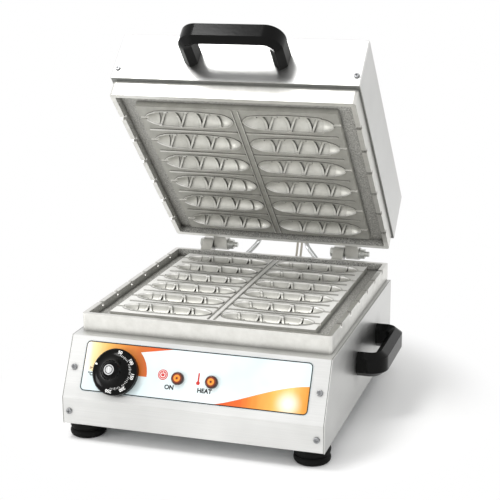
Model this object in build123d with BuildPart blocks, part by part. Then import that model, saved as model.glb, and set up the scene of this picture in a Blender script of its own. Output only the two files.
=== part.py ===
from build123d import *
import math
import os

os.makedirs("parts", exist_ok=True)

# Countertop crepe cone maker, millimetres, +X right, +Y back, +Z up.
# The lid is modelled open, and the origin is under the middle of the whole outline, on the worktop.

# Body of folded sheet
sheet = 1.0
body_width = 340.0
body_depth = 390.0
foot_height = 21.5
apron_height = 35.5
control_rise = 70.5
control_setback = 38.0
lip_length = 12.0
bend_radius = 2.5
flange_width = 16.0
pan_rim = 26.0
vent_length = 30.0
vent_height = 3.5
vent_pitch = 8.0
vent_centre_z = 66.0

# Cast plates, the same outline above and below
plate_width = 328.0
plate_depth = 341.0
plate_height = 23.0
plate_front = 56.0
plate_corner = 4.0
rim_width = 6.5
moat_depth = 11.0
moat_side = 21.0
moat_front = 20.0
moat_back = 12.0
field_drop = 3.0
rows = 6
cavity_half_width = 16.0
cavity_depth = 12.0
cavity_length = 120.0
cavity_from_edge = 8.5
zigzag_height = 2.6
zigzag_width = 2.6
zigzag_count = 6
zigzag_pitch = 14.6
bead_width = 1.8
bead_height = 1.2
row_rib_width = 3.0
spine_rib_x = 4.2
spine_rib_width = 1.6
stick_radius = 2.75
pocket_depth = 3.0
pocket_margin = 21.0

# Lid hinge, two knuckle pairs on one axis
lid_open_angle = 46.0
parting_gap = 0.5
hinge_behind = 25.0
hinge_rise = 3.5
hinge_offset = 102.0
knuckle_lead = 24.0
knuckle_radius = 9.5
base_knuckle_width = 16.0
lid_knuckle_width = 19.0
knuckle_gap = 3.0
hinge_bolt_radius = 4.0
hinge_running = 0.08
washer_thickness = 1.5
side_play = 0.3
spacer_radius = 6.5
washer_radius = 8.2
hinge_head = 5.3
hinge_nut_height = 6.5
hinge_nut_across = 13.0
bolt_tail = 6.0

# Lid cover, a folded box on the back of the upper plate
cover_overhang_side = 3.0
cover_overhang_front = 6.5
cover_overhang_back = 7.0
cover_height = 73.5
cover_bend = 2.0
lid_base_rim = 24.0
lid_screw_x = 160.0
lid_screw_rise = 15.3

# Heating stack behind each plate
element_radius = 4.25
element_outer_x = 115.0
element_inner_x = 40.0
element_end_margin = 62.0
element_drop = 42.0
element_touch = 0.1
tail_turn = 12.0
clamp_thickness = 2.0
clamp_inset = 8.0
stud_radius = 3.0
stud_x = 78.0
stud_length = 18.0
stud_in_plate = 9.0
nut_height = 5.0
nut_across = 10.0
insulation_thickness = 17.0
wool_inset = 1.5
shield_depth = 34.0
shield_side_flange = 14.0
shield_end_flange = 6.0
opening_margin = 18.0
sensor_y = 96.0
sensor_hole_radius = 3.0
plate_bolt_radius = 3.0
bolt_margin_side = 8.0
bolt_margin_end = 22.0
bolt_cover = 4.0
bolt_head = 4.0

# Dial, thermostat, lamps and label on the control face
dial_x = -101.0
dial_along = 37.0
dial_radius = 29.5
dial_skirt = 9.0
dial_height = 24.0
dial_gap = 1.2
dial_hub_radius = 11.0
cap_radius = 6.5
cap_height = 3.0
shaft_radius = 3.0
shaft_running = 0.05
shaft_in_body = 12.0
thermostat_size = 36.0
thermostat_depth = 28.0
bush_radius = 5.0
bush_proud = 6.0
sensor_radius = 3.0
sensor_length = 60.0
sensing_line_radius = 1.0
lamp_positions = (-20.0, 24.0)
lamp_along = 38.0
lamp_head_radius = 8.0
lamp_head_height = 5.0
lamp_body_radius = 6.0
lamp_body_length = 26.0
lamp_neon_radius = 3.0
label_width = 296.0
label_height = 64.5
label_along = 42.5
label_corner = 6.0
label_thickness = 0.4
panel_screw_x = 159.5
panel_screw_along = 39.0
apron_screw_x = 160.5
apron_screw_height = 39.0
rear_screw_x = 162.0
rear_screw_heights = (58.0, 110.0)
panel_screw_radius = 2.0
panel_head_radius = 3.8
panel_screw_length = 8.0

# Bridge handles, one on the lid and one on each side
handle_legs = 121.0
lid_handle_reach = 47.5
side_handle_reach = 29.0
handle_half_width = 9.0
handle_half_height = 16.5
handle_flat = 9.5
handle_bend = 15.0
side_handle_y = 234.0
side_handle_z = 75.5
handle_screw_radius = 2.5
handle_head_radius = 5.0
handle_thread = 16.0

# Feet
foot_radius = 23.0
foot_x = 148.0
foot_front = 28.0
foot_back = 362.0
foot_screw_radius = 2.5
foot_head_radius = 5.5
foot_floor = 6.0
foot_bore = 7.0
foot_boss = 14.0
foot_nut_height = 4.0
foot_nut_across = 9.0

# Lid stop, a bent rod behind the body
stop_radius = 3.5
stop_foot_x = 92.0
stop_foot_low = 80.0
stop_foot_high = 104.0
stop_neck_x = 36.0
stop_neck_z = 165.0
stop_top_z = 212.0
stop_clearance = 0.4
stop_foot_thickness = 2.0
stop_weld = 0.6
stop_foot_width = 34.0
stop_foot_length = 22.0
stop_screw_spread = 11.0

# Cable entry and wiring
gland_x = -110.0
gland_z = 60.0
gland_across = 22.0
gland_thread_radius = 8.0
gland_bore_radius = 4.5
lead_radius = 1.75
lead_x = 14.0
lead_pitch = 6.5
lead_base_z = 84.0
lead_lid_rise = 31.0
grommet_radius = 5.0
grommet_neck_radius = 3.2
grommet_flange = 1.6
block_x = -60.0
block_from_back = 62.0
block_pitch = 12.0
block_wire_height = 5.0

# Small clearances
hole_clearance = 0.2
snug = 0.05

# Places worked out from the sizes above
slope = math.atan2(control_setback, control_rise)
open_angle = math.radians(lid_open_angle)
apron_top = foot_height + apron_height
deck_top = apron_top + control_rise
rim_top = deck_top + plate_height
hinge_from_front = plate_front + plate_depth + hinge_behind
hinge_z = rim_top + parting_gap + hinge_rise
cover_back = -hinge_behind + cover_overhang_back
cover_front = -hinge_behind - plate_depth - cover_overhang_front
cover_low = plate_height - hinge_rise
cover_top = cover_low + cover_height

# The outline's foremost and rearmost points set the origin in Y
dial_face = dial_gap + dial_height + cap_height
foremost = (dial_along - cap_radius) * math.sin(slope) - dial_face * math.cos(slope)
rearmost = (
    hinge_from_front
    + (cover_back - cover_bend) * math.cos(open_angle)
    + (cover_top - cover_bend) * math.sin(open_angle)
    + cover_bend
)
front_y = -(foremost + rearmost) / 2
back_y = front_y + body_depth
plate_front_y = front_y + plate_front
hinge_y = front_y + hinge_from_front

# Working planes
slope_plane = Plane(
    origin=(0, front_y, apron_top), x_dir=(1, 0, 0), z_dir=(0, -math.cos(slope), math.sin(slope))
)
lid_plane = Plane(
    origin=(0, hinge_y, hinge_z), x_dir=(1, 0, 0), z_dir=(0, math.sin(open_angle), math.cos(open_angle))
)
lower_frame = Plane(origin=(0, plate_front_y, rim_top), x_dir=(1, 0, 0), z_dir=(0, 0, 1))
upper_frame = Plane(
    origin=lid_plane.from_local_coords((0, -hinge_behind - plate_depth, -hinge_rise)),
    x_dir=(-1, 0, 0),
    z_dir=-lid_plane.z_dir,
)
lid_front_plane = Plane(
    origin=lid_plane.from_local_coords((0, cover_front, cover_low + cover_height / 2)),
    x_dir=(1, 0, 0),
    z_dir=-lid_plane.y_dir,
)
lid_rear_plane = Plane(
    origin=lid_plane.from_local_coords((0, cover_back, cover_low)),
    x_dir=(-1, 0, 0),
    z_dir=lid_plane.y_dir,
)
apron_plane = Plane(origin=(0, front_y, 0), x_dir=(1, 0, 0), z_dir=(0, -1, 0))
rear_plane = Plane(origin=(0, back_y, 0), x_dir=(-1, 0, 0), z_dir=(0, 1, 0))
right_face = Plane(
    origin=(body_width / 2, front_y + side_handle_y, side_handle_z), x_dir=(0, 1, 0), z_dir=(1, 0, 0)
)
left_face = Plane(
    origin=(-body_width / 2, front_y + side_handle_y, side_handle_z), x_dir=(0, 1, 0), z_dir=(-1, 0, 0)
)
dial_plane = Plane(
    origin=slope_plane.from_local_coords((dial_x, dial_along, 0)), x_dir=(1, 0, 0), z_dir=slope_plane.z_dir
)

# Screw and lead places, in the x and y of the plane they belong to
control_screw_places = [(x, panel_screw_along) for x in (-panel_screw_x, panel_screw_x)]
apron_screw_places = [(x, apron_screw_height) for x in (-apron_screw_x, apron_screw_x)]
rear_screw_places = [(x, z) for x in (-rear_screw_x, rear_screw_x) for z in rear_screw_heights]
lid_front_screw_places = [(x, lid_screw_rise - cover_height / 2) for x in (-lid_screw_x, lid_screw_x)]
lid_rear_screw_places = [(x, lid_screw_rise) for x in (-lid_screw_x, lid_screw_x)]
handle_screw_places = [(-handle_legs / 2, 0), (handle_legs / 2, 0)]
stop_screw_places = [
    (side * stop_foot_x + shift, stop_foot_low + 2)
    for side in (-1, 1)
    for shift in (-stop_screw_spread, stop_screw_spread)
]
lamp_places = [(x, lamp_along) for x in lamp_positions]
lead_xs = (lead_x, lead_x + lead_pitch)
lid_lead_places = [(-x, lead_lid_rise) for x in lead_xs]
base_lead_places = [(-x, lead_base_z) for x in lead_xs]
pan_low = foot_height + sheet
pan_mid = front_y + (body_depth - sheet) / 2
foot_places = [(x, front_y + y) for x in (-foot_x, foot_x) for y in (foot_front, foot_back)]


def save(piece, name):
    """Label one finished piece and write it under its own name."""
    piece.part.label = name
    export_step(piece.part, f"parts/{name}.step")


def side_plane(frame, x):
    """Plane across a frame's x, with its own x along the frame's y and its own y along the frame's z."""
    return Plane(origin=frame.from_local_coords((x, 0, 0)), x_dir=frame.y_dir, z_dir=frame.x_dir)


# Cavity: a boat-shaped mould with a stepped nose at the stick end and a raised zigzag on its wall
# It is a round form whose axis lies above the field, so that it is wider than it is deep.

bore_radius = (cavity_half_width**2 + cavity_depth**2) / (2 * cavity_depth)
bore_rise = bore_radius - cavity_depth
tip_length = 15.0
nose_length = 16.0
shoulder_share = 0.78
nose_high_share = 0.86
nose_low_share = 0.76


def cavity_edge():
    """Points of the half outline at the field in three arcs, drawn along x from the inner tip."""
    width = cavity_half_width
    nose_start = cavity_length - nose_length
    return [
        ((0, 0), (tip_length * 0.28, width * 0.47), (tip_length, width * shoulder_share)),
        (
            (tip_length, width * shoulder_share),
            (cavity_length * 0.5, width),
            (nose_start, width * nose_high_share),
        ),
        (
            (nose_start, width * nose_low_share),
            (nose_start + nose_length * 0.64, width * nose_low_share * 0.66),
            (cavity_length, 0),
        ),
    ]


def round_edge(point):
    """Radius about the raised axis of a point given by its half width at the field."""
    return (point[0], math.hypot(point[1], bore_rise))


def cavity_profile(lowered):
    """Half section to turn about the raised axis, with the wall brought in by a height."""
    arcs = [[round_edge(point) for point in arc] for arc in cavity_edge()]
    arcs = [[(x, radius - lowered) for x, radius in arc] for arc in arcs]
    with BuildSketch(Plane.XZ) as profile:
        with BuildLine():
            for arc in arcs:
                ThreePointArc(*arc)
            Line(arcs[1][2], arcs[2][0])
            Polyline(arcs[2][2], (cavity_length, 0), (0, 0), arcs[0][0])
        make_face()
    return profile


def cavity_bead():
    """Plan of a cavity grown by the width of its bead, for an open sketch."""
    with BuildSketch(mode=Mode.PRIVATE) as plan:
        with BuildLine():
            arcs = cavity_edge()
            for arc in arcs:
                ThreePointArc(*arc)
            Line(arcs[1][2], arcs[2][0])
            mirror(about=Plane.XZ)
        make_face()
        offset(amount=bead_width, kind=Kind.ARC)
    return plan.sketch


def make_cavity_cutter():
    """Solid that is cut from a plate: the boat, less the zigzag that stands proud of its wall."""
    outer = cavity_profile(0)
    inner = cavity_profile(zigzag_height)
    start = (cavity_length - zigzag_pitch * zigzag_count) / 2
    leg_angle = math.degrees(math.atan2(2 * cavity_half_width, zigzag_pitch))
    leg_length = math.hypot(2 * cavity_half_width, zigzag_pitch) + zigzag_width
    with BuildPart() as cutter:
        add(outer.sketch)
        revolve(axis=Axis.X, revolution_arc=360)
        with BuildSketch(Plane.XY.offset(-bore_radius - 1)):
            for leg in range(zigzag_count):
                tilt = leg_angle if leg % 2 else -leg_angle
                with Locations(Location((start + zigzag_pitch * (leg + 0.5), 0), tilt)):
                    Rectangle(leg_length, zigzag_width)
        extrude(amount=bore_radius + 1, mode=Mode.SUBTRACT)
        add(inner.sketch)
        revolve(axis=Axis.X, revolution_arc=360)
    return cutter


cavity_cutter = make_cavity_cutter()

field_half = plate_width / 2 - rim_width - moat_side
field_front = rim_width + moat_front
field_back = plate_depth - rim_width - moat_back
row_pitch = (field_back - field_front) / rows
row_centres = [field_front + row_pitch * (row + 0.5) for row in range(rows)]
row_edges = [field_front + row_pitch * row for row in range(1, rows)]
cavity_outer = field_half - cavity_from_edge
cavity_inner = cavity_outer - cavity_length
stud_places = [(x, y) for x in (-stud_x, stud_x) for y in (row_edges[0], row_edges[2], row_edges[4])]
bolt_places = [
    (x, y)
    for x in (bolt_margin_side - plate_width / 2, plate_width / 2 - bolt_margin_side)
    for y in (bolt_margin_end, plate_depth - bolt_margin_end)
]
bolt_bite = plate_height - moat_depth - bolt_cover


def make_plate_blank():
    """Cast plate without knuckles: relief on +z, mating rim at z 0, front edge at y 0."""
    frame = Plane.XY
    mid_y = plate_depth / 2
    field_mid = (field_front + field_back) / 2
    cavity_mid = (cavity_inner + cavity_outer) / 2
    bead = cavity_bead()
    with BuildPart() as plate:
        with BuildSketch(frame.offset(-plate_height)):
            with Locations((0, mid_y)):
                RectangleRounded(plate_width, plate_depth, plate_corner)
        extrude(amount=plate_height)
        with BuildSketch(frame):
            with Locations((0, mid_y)):
                RectangleRounded(plate_width - 2 * rim_width, plate_depth - 2 * rim_width, 2)
        extrude(amount=-field_drop, mode=Mode.SUBTRACT)
        with BuildSketch(frame.offset(-field_drop)):
            with Locations((0, mid_y)):
                RectangleRounded(plate_width - 2 * rim_width, plate_depth - 2 * rim_width, 2)
            with Locations((0, field_mid)):
                Rectangle(2 * field_half, field_back - field_front, mode=Mode.SUBTRACT)
        extrude(amount=field_drop - moat_depth, mode=Mode.SUBTRACT)

        # Ribs between the rows, two spine ribs and a bead round each cavity
        with BuildSketch(frame.offset(-field_drop)):
            for side in (-1, 1):
                for edge in row_edges:
                    with Locations((side * cavity_mid, edge)):
                        SlotOverall(cavity_length + 4, row_rib_width)
                with Locations((side * spine_rib_x, field_mid)):
                    Rectangle(spine_rib_width, field_back - field_front - 4)
                turn = 0 if side > 0 else 180
                for centre in row_centres:
                    add(Location((side * cavity_inner, centre), turn) * bead)
        extrude(amount=bead_height)

        for centre in row_centres:
            right = Location((cavity_inner, centre, bore_rise - field_drop))
            left = Location((-cavity_inner, centre, bore_rise - field_drop), (0, 0, 180))
            with Locations(right, left):
                add(cavity_cutter.part, mode=Mode.SUBTRACT)

        # Stick grooves from each cavity out over the moat and through the rim
        for side in (-1, 1):
            with BuildSketch(side_plane(frame, side * (cavity_outer - 4))):
                for centre in row_centres:
                    with Locations((centre, -field_drop)):
                        Circle(stick_radius)
                    with Locations((centre, -field_drop / 2 + 0.5)):
                        Rectangle(2 * stick_radius, field_drop + 1)
            extrude(amount=side * (plate_width / 2 - cavity_outer + 5), mode=Mode.SUBTRACT)

        # Pocket for the heater, stud holes and bolt holes in the underside
        with BuildSketch(frame.offset(-plate_height)):
            with Locations((0, mid_y)):
                RectangleRounded(plate_width - 2 * pocket_margin, plate_depth - 2 * pocket_margin, 8)
        extrude(amount=pocket_depth, mode=Mode.SUBTRACT)
        with BuildSketch(frame.offset(-plate_height + pocket_depth)):
            with Locations(*stud_places):
                Circle(stud_radius + snug)
        extrude(amount=stud_in_plate, mode=Mode.SUBTRACT)
        with BuildSketch(frame.offset(-plate_height)):
            with Locations(*bolt_places):
                Circle(plate_bolt_radius + snug)
        extrude(amount=bolt_bite + 1, mode=Mode.SUBTRACT)
    return plate


plate_blank = make_plate_blank()


def make_plate(frame, knuckle_starts, knuckle_width, axis_height):
    """One cast plate on its own frame, with hinge knuckles on arms from its rear wall."""
    with BuildPart() as plate:
        with Locations(frame.location):
            add(plate_blank.part)
        for start in knuckle_starts:
            with BuildSketch(side_plane(frame, start)):
                with Locations((plate_depth + hinge_behind, axis_height)):
                    Circle(knuckle_radius)
                with Locations((plate_depth - 1, -plate_height / 2 - 1)):
                    Rectangle(2, plate_height - 8)
                make_hull()
            extrude(amount=knuckle_width)
            with BuildSketch(side_plane(frame, start - 1)):
                with Locations((plate_depth + hinge_behind, axis_height)):
                    Circle(hinge_bolt_radius + hinge_running)
            extrude(amount=knuckle_width + 2, mode=Mode.SUBTRACT)
    return plate


base_knuckle_starts = [centre - knuckle_lead for centre in (-hinge_offset, hinge_offset)]
lid_knuckle_starts = [start + base_knuckle_width + knuckle_gap for start in base_knuckle_starts]

lower_plate = make_plate(lower_frame, base_knuckle_starts, base_knuckle_width, parting_gap + hinge_rise)
save(lower_plate, "lower_plate")

upper_starts = [-(start + lid_knuckle_width) for start in lid_knuckle_starts]
upper_plate = make_plate(upper_frame, upper_starts, lid_knuckle_width, -hinge_rise)
save(upper_plate, "upper_plate")


# Heating stack: tube heater pressed on the plate by a clamp sheet, wool and a shield pan below it

element_z = -plate_height + pocket_depth - element_touch - element_radius
clamp_top = element_z - element_radius - element_touch
clamp_low = clamp_top - clamp_thickness
flange_top = -plate_height - sheet
shield_low = flange_top - shield_depth
wool_low = shield_low + sheet
element_back = plate_depth - element_end_margin
element_front = element_end_margin


def stack_outline(side_margin, end_margin, corner):
    """Rectangle centred on the plate, grown by its margins, for an open sketch."""
    with Locations((0, plate_depth / 2)):
        RectangleRounded(
            plate_width - 2 * opening_margin + 2 * side_margin,
            plate_depth - 2 * opening_margin + 2 * end_margin,
            corner,
        )


def tail_holes(radius):
    """Holes round the heater's two tails, for an open sketch."""
    with Locations((-element_outer_x, element_back), (element_outer_x, element_back)):
        Circle(radius, mode=Mode.SUBTRACT)


def sensor_hole():
    """Hole where the sensing line passes, for an open sketch."""
    with Locations((0, sensor_y)):
        Circle(sensor_hole_radius, mode=Mode.SUBTRACT)


def make_element(frame):
    """Tube heater in four runs, with both tails turned away from the plate."""
    route = [
        (-element_outer_x, element_back, element_z - element_drop),
        (-element_outer_x, element_back, element_z),
        (-element_outer_x, element_front, element_z),
        (-element_inner_x, element_front, element_z),
        (-element_inner_x, element_back, element_z),
        (element_inner_x, element_back, element_z),
        (element_inner_x, element_front, element_z),
        (element_outer_x, element_front, element_z),
        (element_outer_x, element_back, element_z),
        (element_outer_x, element_back, element_z - element_drop),
    ]
    outer_turn = (element_outer_x - element_inner_x) / 2 - 0.5
    inner_turn = element_inner_x - 0.5
    radii = [tail_turn] + [outer_turn] * 2 + [inner_turn] * 2 + [outer_turn] * 2 + [tail_turn]
    with BuildPart() as element:
        with BuildLine(frame) as path:
            FilletPolyline(*route, radius=radii)
        start = frame.from_local_coords(route[0])
        with BuildSketch(Plane(origin=start, x_dir=frame.x_dir, z_dir=frame.z_dir)):
            Circle(element_radius)
        sweep(path=path.line)
    return element


def make_terminals(frame):
    """Insulating collar and screw pin on each tail of the heater."""
    collar = 8.0
    pin = 14.0
    tail = element_z - element_drop
    with BuildPart() as terminals:
        with BuildSketch(frame.offset(tail - collar)):
            with Locations((-element_outer_x, element_back), (element_outer_x, element_back)):
                Circle(element_radius)
        extrude(amount=collar)
        with BuildSketch(frame.offset(tail - pin)):
            with Locations((-element_outer_x, element_back), (element_outer_x, element_back)):
                Circle(2)
        extrude(amount=pin)
    return terminals


def make_clamp(frame):
    """Sheet that presses the heater against the plate."""
    with BuildPart() as clamp:
        with BuildSketch(frame.offset(clamp_low)):
            stack_outline(-clamp_inset, -clamp_inset, 6)
            tail_holes(element_radius + tail_turn + 2)
            sensor_hole()
            with Locations(*stud_places):
                Circle(stud_radius + hole_clearance, mode=Mode.SUBTRACT)
        extrude(amount=clamp_thickness)
    return clamp


def make_clamp_studs(frame):
    """Six studs screwed into the plate's underside."""
    with BuildPart() as studs:
        with BuildSketch(frame.offset(-plate_height + pocket_depth - stud_length)):
            with Locations(*stud_places):
                Circle(stud_radius)
        extrude(amount=stud_length + stud_in_plate - 0.5)
    return studs


def make_clamp_nuts(frame):
    """Hex nuts under the clamp sheet."""
    with BuildPart() as nuts:
        with BuildSketch(frame.offset(clamp_low - nut_height)):
            with Locations(*stud_places):
                RegularPolygon(nut_across / 2, 6, major_radius=False)
                Circle(stud_radius + snug, mode=Mode.SUBTRACT)
        extrude(amount=nut_height)
    return nuts


def make_insulation(frame):
    """Mineral wool slab on the floor of the shield pan."""
    with BuildPart() as wool:
        with BuildSketch(frame.offset(wool_low)):
            stack_outline(-wool_inset, -wool_inset, 5)
            tail_holes(element_radius + 1)
            sensor_hole()
        extrude(amount=insulation_thickness)
    return wool


def make_shield(frame):
    """Pan with a flange all round, bolted against the sheet behind the plate."""
    with BuildPart() as shield:
        with BuildSketch(frame.offset(flange_top - sheet)):
            stack_outline(shield_side_flange, shield_end_flange, 8)
            with Locations(*bolt_places):
                Circle(plate_bolt_radius + hole_clearance, mode=Mode.SUBTRACT)
        extrude(amount=sheet)
        with BuildSketch(frame.offset(shield_low)):
            stack_outline(0, 0, 6)
            tail_holes(element_radius + 1.5)
            sensor_hole()
        extrude(amount=shield_depth)
        with BuildSketch(frame.offset(wool_low)):
            stack_outline(-sheet, -sheet, 5)
        extrude(amount=shield_depth, mode=Mode.SUBTRACT)
    return shield


def make_plate_bolts(frame):
    """Four bolts that hold the sheet and the shield's flange on the plate."""
    with BuildPart() as bolts:
        with BuildSketch(frame.offset(flange_top - sheet - bolt_head)):
            with Locations(*bolt_places):
                RegularPolygon(5, 6, major_radius=False)
        extrude(amount=bolt_head)
        with BuildSketch(frame.offset(flange_top - sheet)):
            with Locations(*bolt_places):
                Circle(plate_bolt_radius)
        extrude(amount=2 * sheet + bolt_bite)
    return bolts


for level, frame in (("lower", lower_frame), ("upper", upper_frame)):
    save(make_element(frame), f"{level}_heating_element")
    save(make_terminals(frame), f"{level}_element_terminals")
    save(make_clamp(frame), f"{level}_element_clamp")
    save(make_clamp_studs(frame), f"{level}_clamp_studs")
    save(make_clamp_nuts(frame), f"{level}_clamp_nuts")
    save(make_insulation(frame), f"{level}_insulation")
    save(make_shield(frame), f"{level}_heat_shield")
    save(make_plate_bolts(frame), f"{level}_plate_bolts")


# Body cover: the deck and both sides, one folded sheet with flanges for the panels

lean = sheet / math.cos(slope)
knee = sheet * math.tan(slope / 2)


def cut_stack_opening(frame):
    """Cut the opening for a heating stack and its bolt holes from the sheet behind a plate."""
    with BuildSketch(frame.offset(flange_top)) as opening:
        stack_outline(hole_clearance, hole_clearance, 6)
        with Locations(*bolt_places):
            Circle(plate_bolt_radius + hole_clearance)
    extrude(opening.sketch, amount=sheet, mode=Mode.SUBTRACT)


def cut_holes(plane, places, radius, depth=5 * sheet):
    """Cut round holes of one size at places on a plane, from its face inwards."""
    with BuildSketch(plane) as holes:
        with Locations(*places):
            Circle(radius)
    extrude(holes.sketch, amount=-depth, mode=Mode.SUBTRACT)


with BuildPart() as body_cover:
    with BuildSketch(Plane.YZ.offset(-body_width / 2)):
        with BuildLine():
            Polyline(
                (front_y + sheet, foot_height),
                (front_y + sheet, apron_top + knee),
                (front_y + control_setback + lean, deck_top),
                (back_y, deck_top),
                (back_y, foot_height),
                close=True,
            )
        make_face()
    extrude(amount=body_width)
    with BuildSketch(Plane.XY.offset(deck_top - sheet)):
        with Locations((0, front_y + body_depth / 2)):
            Rectangle(body_width - 2 * sheet, body_depth + 2)
    extrude(amount=-deck_top, mode=Mode.SUBTRACT)
    for side in (-1, 1):
        flange_x = side * (body_width - flange_width) / 2
        with BuildSketch(slope_plane.offset(-2 * sheet)):
            with Locations((flange_x, control_rise / 2 + 3)):
                Rectangle(flange_width, control_rise - 8)
        extrude(amount=sheet)
        with BuildSketch(Plane.XZ.offset(-back_y + 2 * sheet)):
            with Locations((flange_x, (foot_height + deck_top) / 2)):
                Rectangle(flange_width, deck_top - foot_height)
        extrude(amount=-sheet)
    cut_holes(slope_plane, control_screw_places, panel_screw_radius + snug)
    cut_holes(rear_plane, rear_screw_places, panel_screw_radius + snug)
    cut_holes(right_face, handle_screw_places, handle_screw_radius + hole_clearance)
    cut_holes(left_face, handle_screw_places, handle_screw_radius + hole_clearance)
    cut_stack_opening(lower_frame)
save(body_cover, "body_cover")


# Front panel: apron and leaning control face in one sheet, with a lip turned in underneath

with BuildPart() as front_panel:
    with BuildSketch(Plane.YZ.offset(-body_width / 2)):
        with BuildLine():
            Polyline(
                (front_y + lip_length, foot_height),
                (front_y, foot_height),
                (front_y, apron_top),
                (front_y + control_setback, deck_top),
                (front_y + control_setback + lean, deck_top),
                (front_y + sheet, apron_top + knee),
                (front_y + sheet, foot_height + sheet),
                (front_y + lip_length, foot_height + sheet),
                close=True,
            )
        make_face()
    extrude(amount=body_width)
    folds = front_panel.edges().filter_by(Axis.X).filter_by_position(Axis.Z, foot_height, apron_top + 1)
    outer_folds = folds.filter_by_position(Axis.Y, front_y - 0.1, front_y + 0.1)
    inner_folds = folds.filter_by_position(Axis.Y, front_y + sheet - 0.1, front_y + sheet + 0.1)
    fillet(outer_folds, bend_radius)
    fillet(inner_folds.sort_by(Axis.Z)[0], bend_radius - sheet)
    with BuildSketch(Plane.XY.offset(foot_height)):
        for side in (-1, 1):
            with Locations((side * body_width / 2, front_y + sheet + lip_length / 2)):
                Rectangle(2 * (sheet + snug), lip_length)
    extrude(amount=bend_radius, mode=Mode.SUBTRACT)
    cut_holes(slope_plane, [(dial_x, dial_along)], bush_radius + hole_clearance)
    cut_holes(slope_plane, lamp_places, lamp_body_radius + hole_clearance)
    cut_holes(slope_plane, control_screw_places, panel_screw_radius + hole_clearance)
    cut_holes(apron_plane, apron_screw_places, panel_screw_radius + hole_clearance)
save(front_panel, "front_panel")


# Rear panel with air slots and holes for the cable gland, the lid's leads and the lid stop

with BuildPart() as rear_panel:
    with BuildSketch(rear_plane.offset(-sheet)):
        with Locations((0, (foot_height + deck_top - sheet) / 2)):
            Rectangle(body_width - 2 * sheet - 2 * snug, deck_top - sheet - foot_height)
        with Locations((0, vent_centre_z)):
            with GridLocations(vent_length + 8, vent_pitch, 3, 4):
                SlotOverall(vent_length, vent_height, mode=Mode.SUBTRACT)
    extrude(amount=sheet)
    cut_holes(rear_plane, rear_screw_places, panel_screw_radius + hole_clearance)
    cut_holes(rear_plane, stop_screw_places, panel_screw_radius + hole_clearance)
    cut_holes(rear_plane, [(-gland_x, gland_z)], gland_thread_radius + hole_clearance)
    cut_holes(rear_plane, base_lead_places, grommet_neck_radius + hole_clearance)
save(rear_panel, "rear_panel")


# Bottom pan with air slots, standing on the four feet

pan_width = body_width - 2 * sheet - 2 * snug
pan_depth = body_depth - 3 * sheet - 2 * snug

with BuildPart() as bottom_pan:
    with BuildSketch(Plane.XY.offset(pan_low)):
        with Locations((0, pan_mid)):
            Rectangle(pan_width, pan_depth)
    extrude(amount=pan_rim)
    fillet(bottom_pan.faces().sort_by(Axis.Z)[0].edges(), bend_radius)
    with BuildSketch(Plane.XY.offset(pan_low + sheet)):
        with Locations((0, pan_mid)):
            Rectangle(pan_width - 2 * sheet, pan_depth - 2 * sheet)
    extrude(amount=pan_rim, mode=Mode.SUBTRACT)
    with BuildSketch(Plane.XY.offset(pan_low)):
        with Locations(*foot_places):
            Circle(foot_screw_radius + hole_clearance)
        with Locations((0, pan_mid)):
            with GridLocations(vent_length + 14, 2 * vent_pitch, 4, 8):
                SlotOverall(vent_length, vent_height)
    extrude(amount=sheet, mode=Mode.SUBTRACT)
    cut_holes(apron_plane, apron_screw_places, panel_screw_radius + snug)
save(bottom_pan, "bottom_pan")


# Screws: pan heads with a cross recess, made once and placed on each seat


def seats_on(plane, places):
    """Seat planes at places given in a plane's own x and y."""
    return [
        Plane(origin=plane.from_local_coords((x, y, 0)), x_dir=plane.x_dir, z_dir=plane.z_dir)
        for x, y in places
    ]


def make_screws(seats, radius, head_radius, length, head=2.4):
    """Pan-head screws, one on each seat plane, heads on its +z side and shanks on its -z side."""
    slot = 1.1 * head_radius
    with BuildPart() as screws:
        for seat in seats:
            with BuildSketch(seat):
                Circle(head_radius)
            extrude(amount=head)
            with BuildSketch(seat.offset(-length)):
                Circle(radius)
            extrude(amount=length)
        tops = [seat.offset(head) for seat in seats]
        rims = [
            edge
            for edge in screws.edges().filter_by(GeomType.CIRCLE)
            if edge.radius > head_radius - 0.1
            and any(abs(top.to_local_coords(edge.arc_center).Z) < 0.01 for top in tops)
        ]
        fillet(rims, head / 2)
        for top in tops:
            with BuildSketch(top.offset(-head / 2)):
                Rectangle(slot, head_radius / 4)
                Rectangle(head_radius / 4, slot)
            extrude(amount=head, mode=Mode.SUBTRACT)
    return screws


panel_seats = (
    seats_on(slope_plane, control_screw_places)
    + seats_on(apron_plane, apron_screw_places)
    + seats_on(rear_plane, rear_screw_places)
)
panel_screws = make_screws(panel_seats, panel_screw_radius, panel_head_radius, panel_screw_length)
save(panel_screws, "panel_screws")


# Feet: ribbed rubber, each held by a screw from below and a nut inside the pan


def make_foot(x, y):
    """One foot with a groove between its two bulges and a boss that seats on the pan."""
    hole = foot_screw_radius + hole_clearance
    neck = foot_radius - 2.5
    waist = foot_height * 0.47
    with BuildPart() as foot:
        with BuildSketch(Plane(origin=(x, y, 0), x_dir=(1, 0, 0), z_dir=(0, -1, 0))):
            with BuildLine():
                Polyline((hole, foot_floor), (foot_bore, foot_floor), (foot_bore, 0), (neck - 1.5, 0))
                ThreePointArc((neck - 1.5, 0), (foot_radius, waist / 2), (neck, waist))
                ThreePointArc((neck, waist), (foot_radius, foot_height * 0.75), (neck, foot_height))
                Polyline(
                    (neck, foot_height),
                    (foot_boss, foot_height),
                    (foot_boss, pan_low),
                    (hole, pan_low),
                    (hole, foot_floor),
                )
            make_face()
        revolve(axis=Axis((x, y, 0), (0, 0, 1)), revolution_arc=360)
    return foot


foot_names = ("foot_front_left", "foot_rear_left", "foot_front_right", "foot_rear_right")
for name, (x, y) in zip(foot_names, foot_places):
    save(make_foot(x, y), name)

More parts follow.
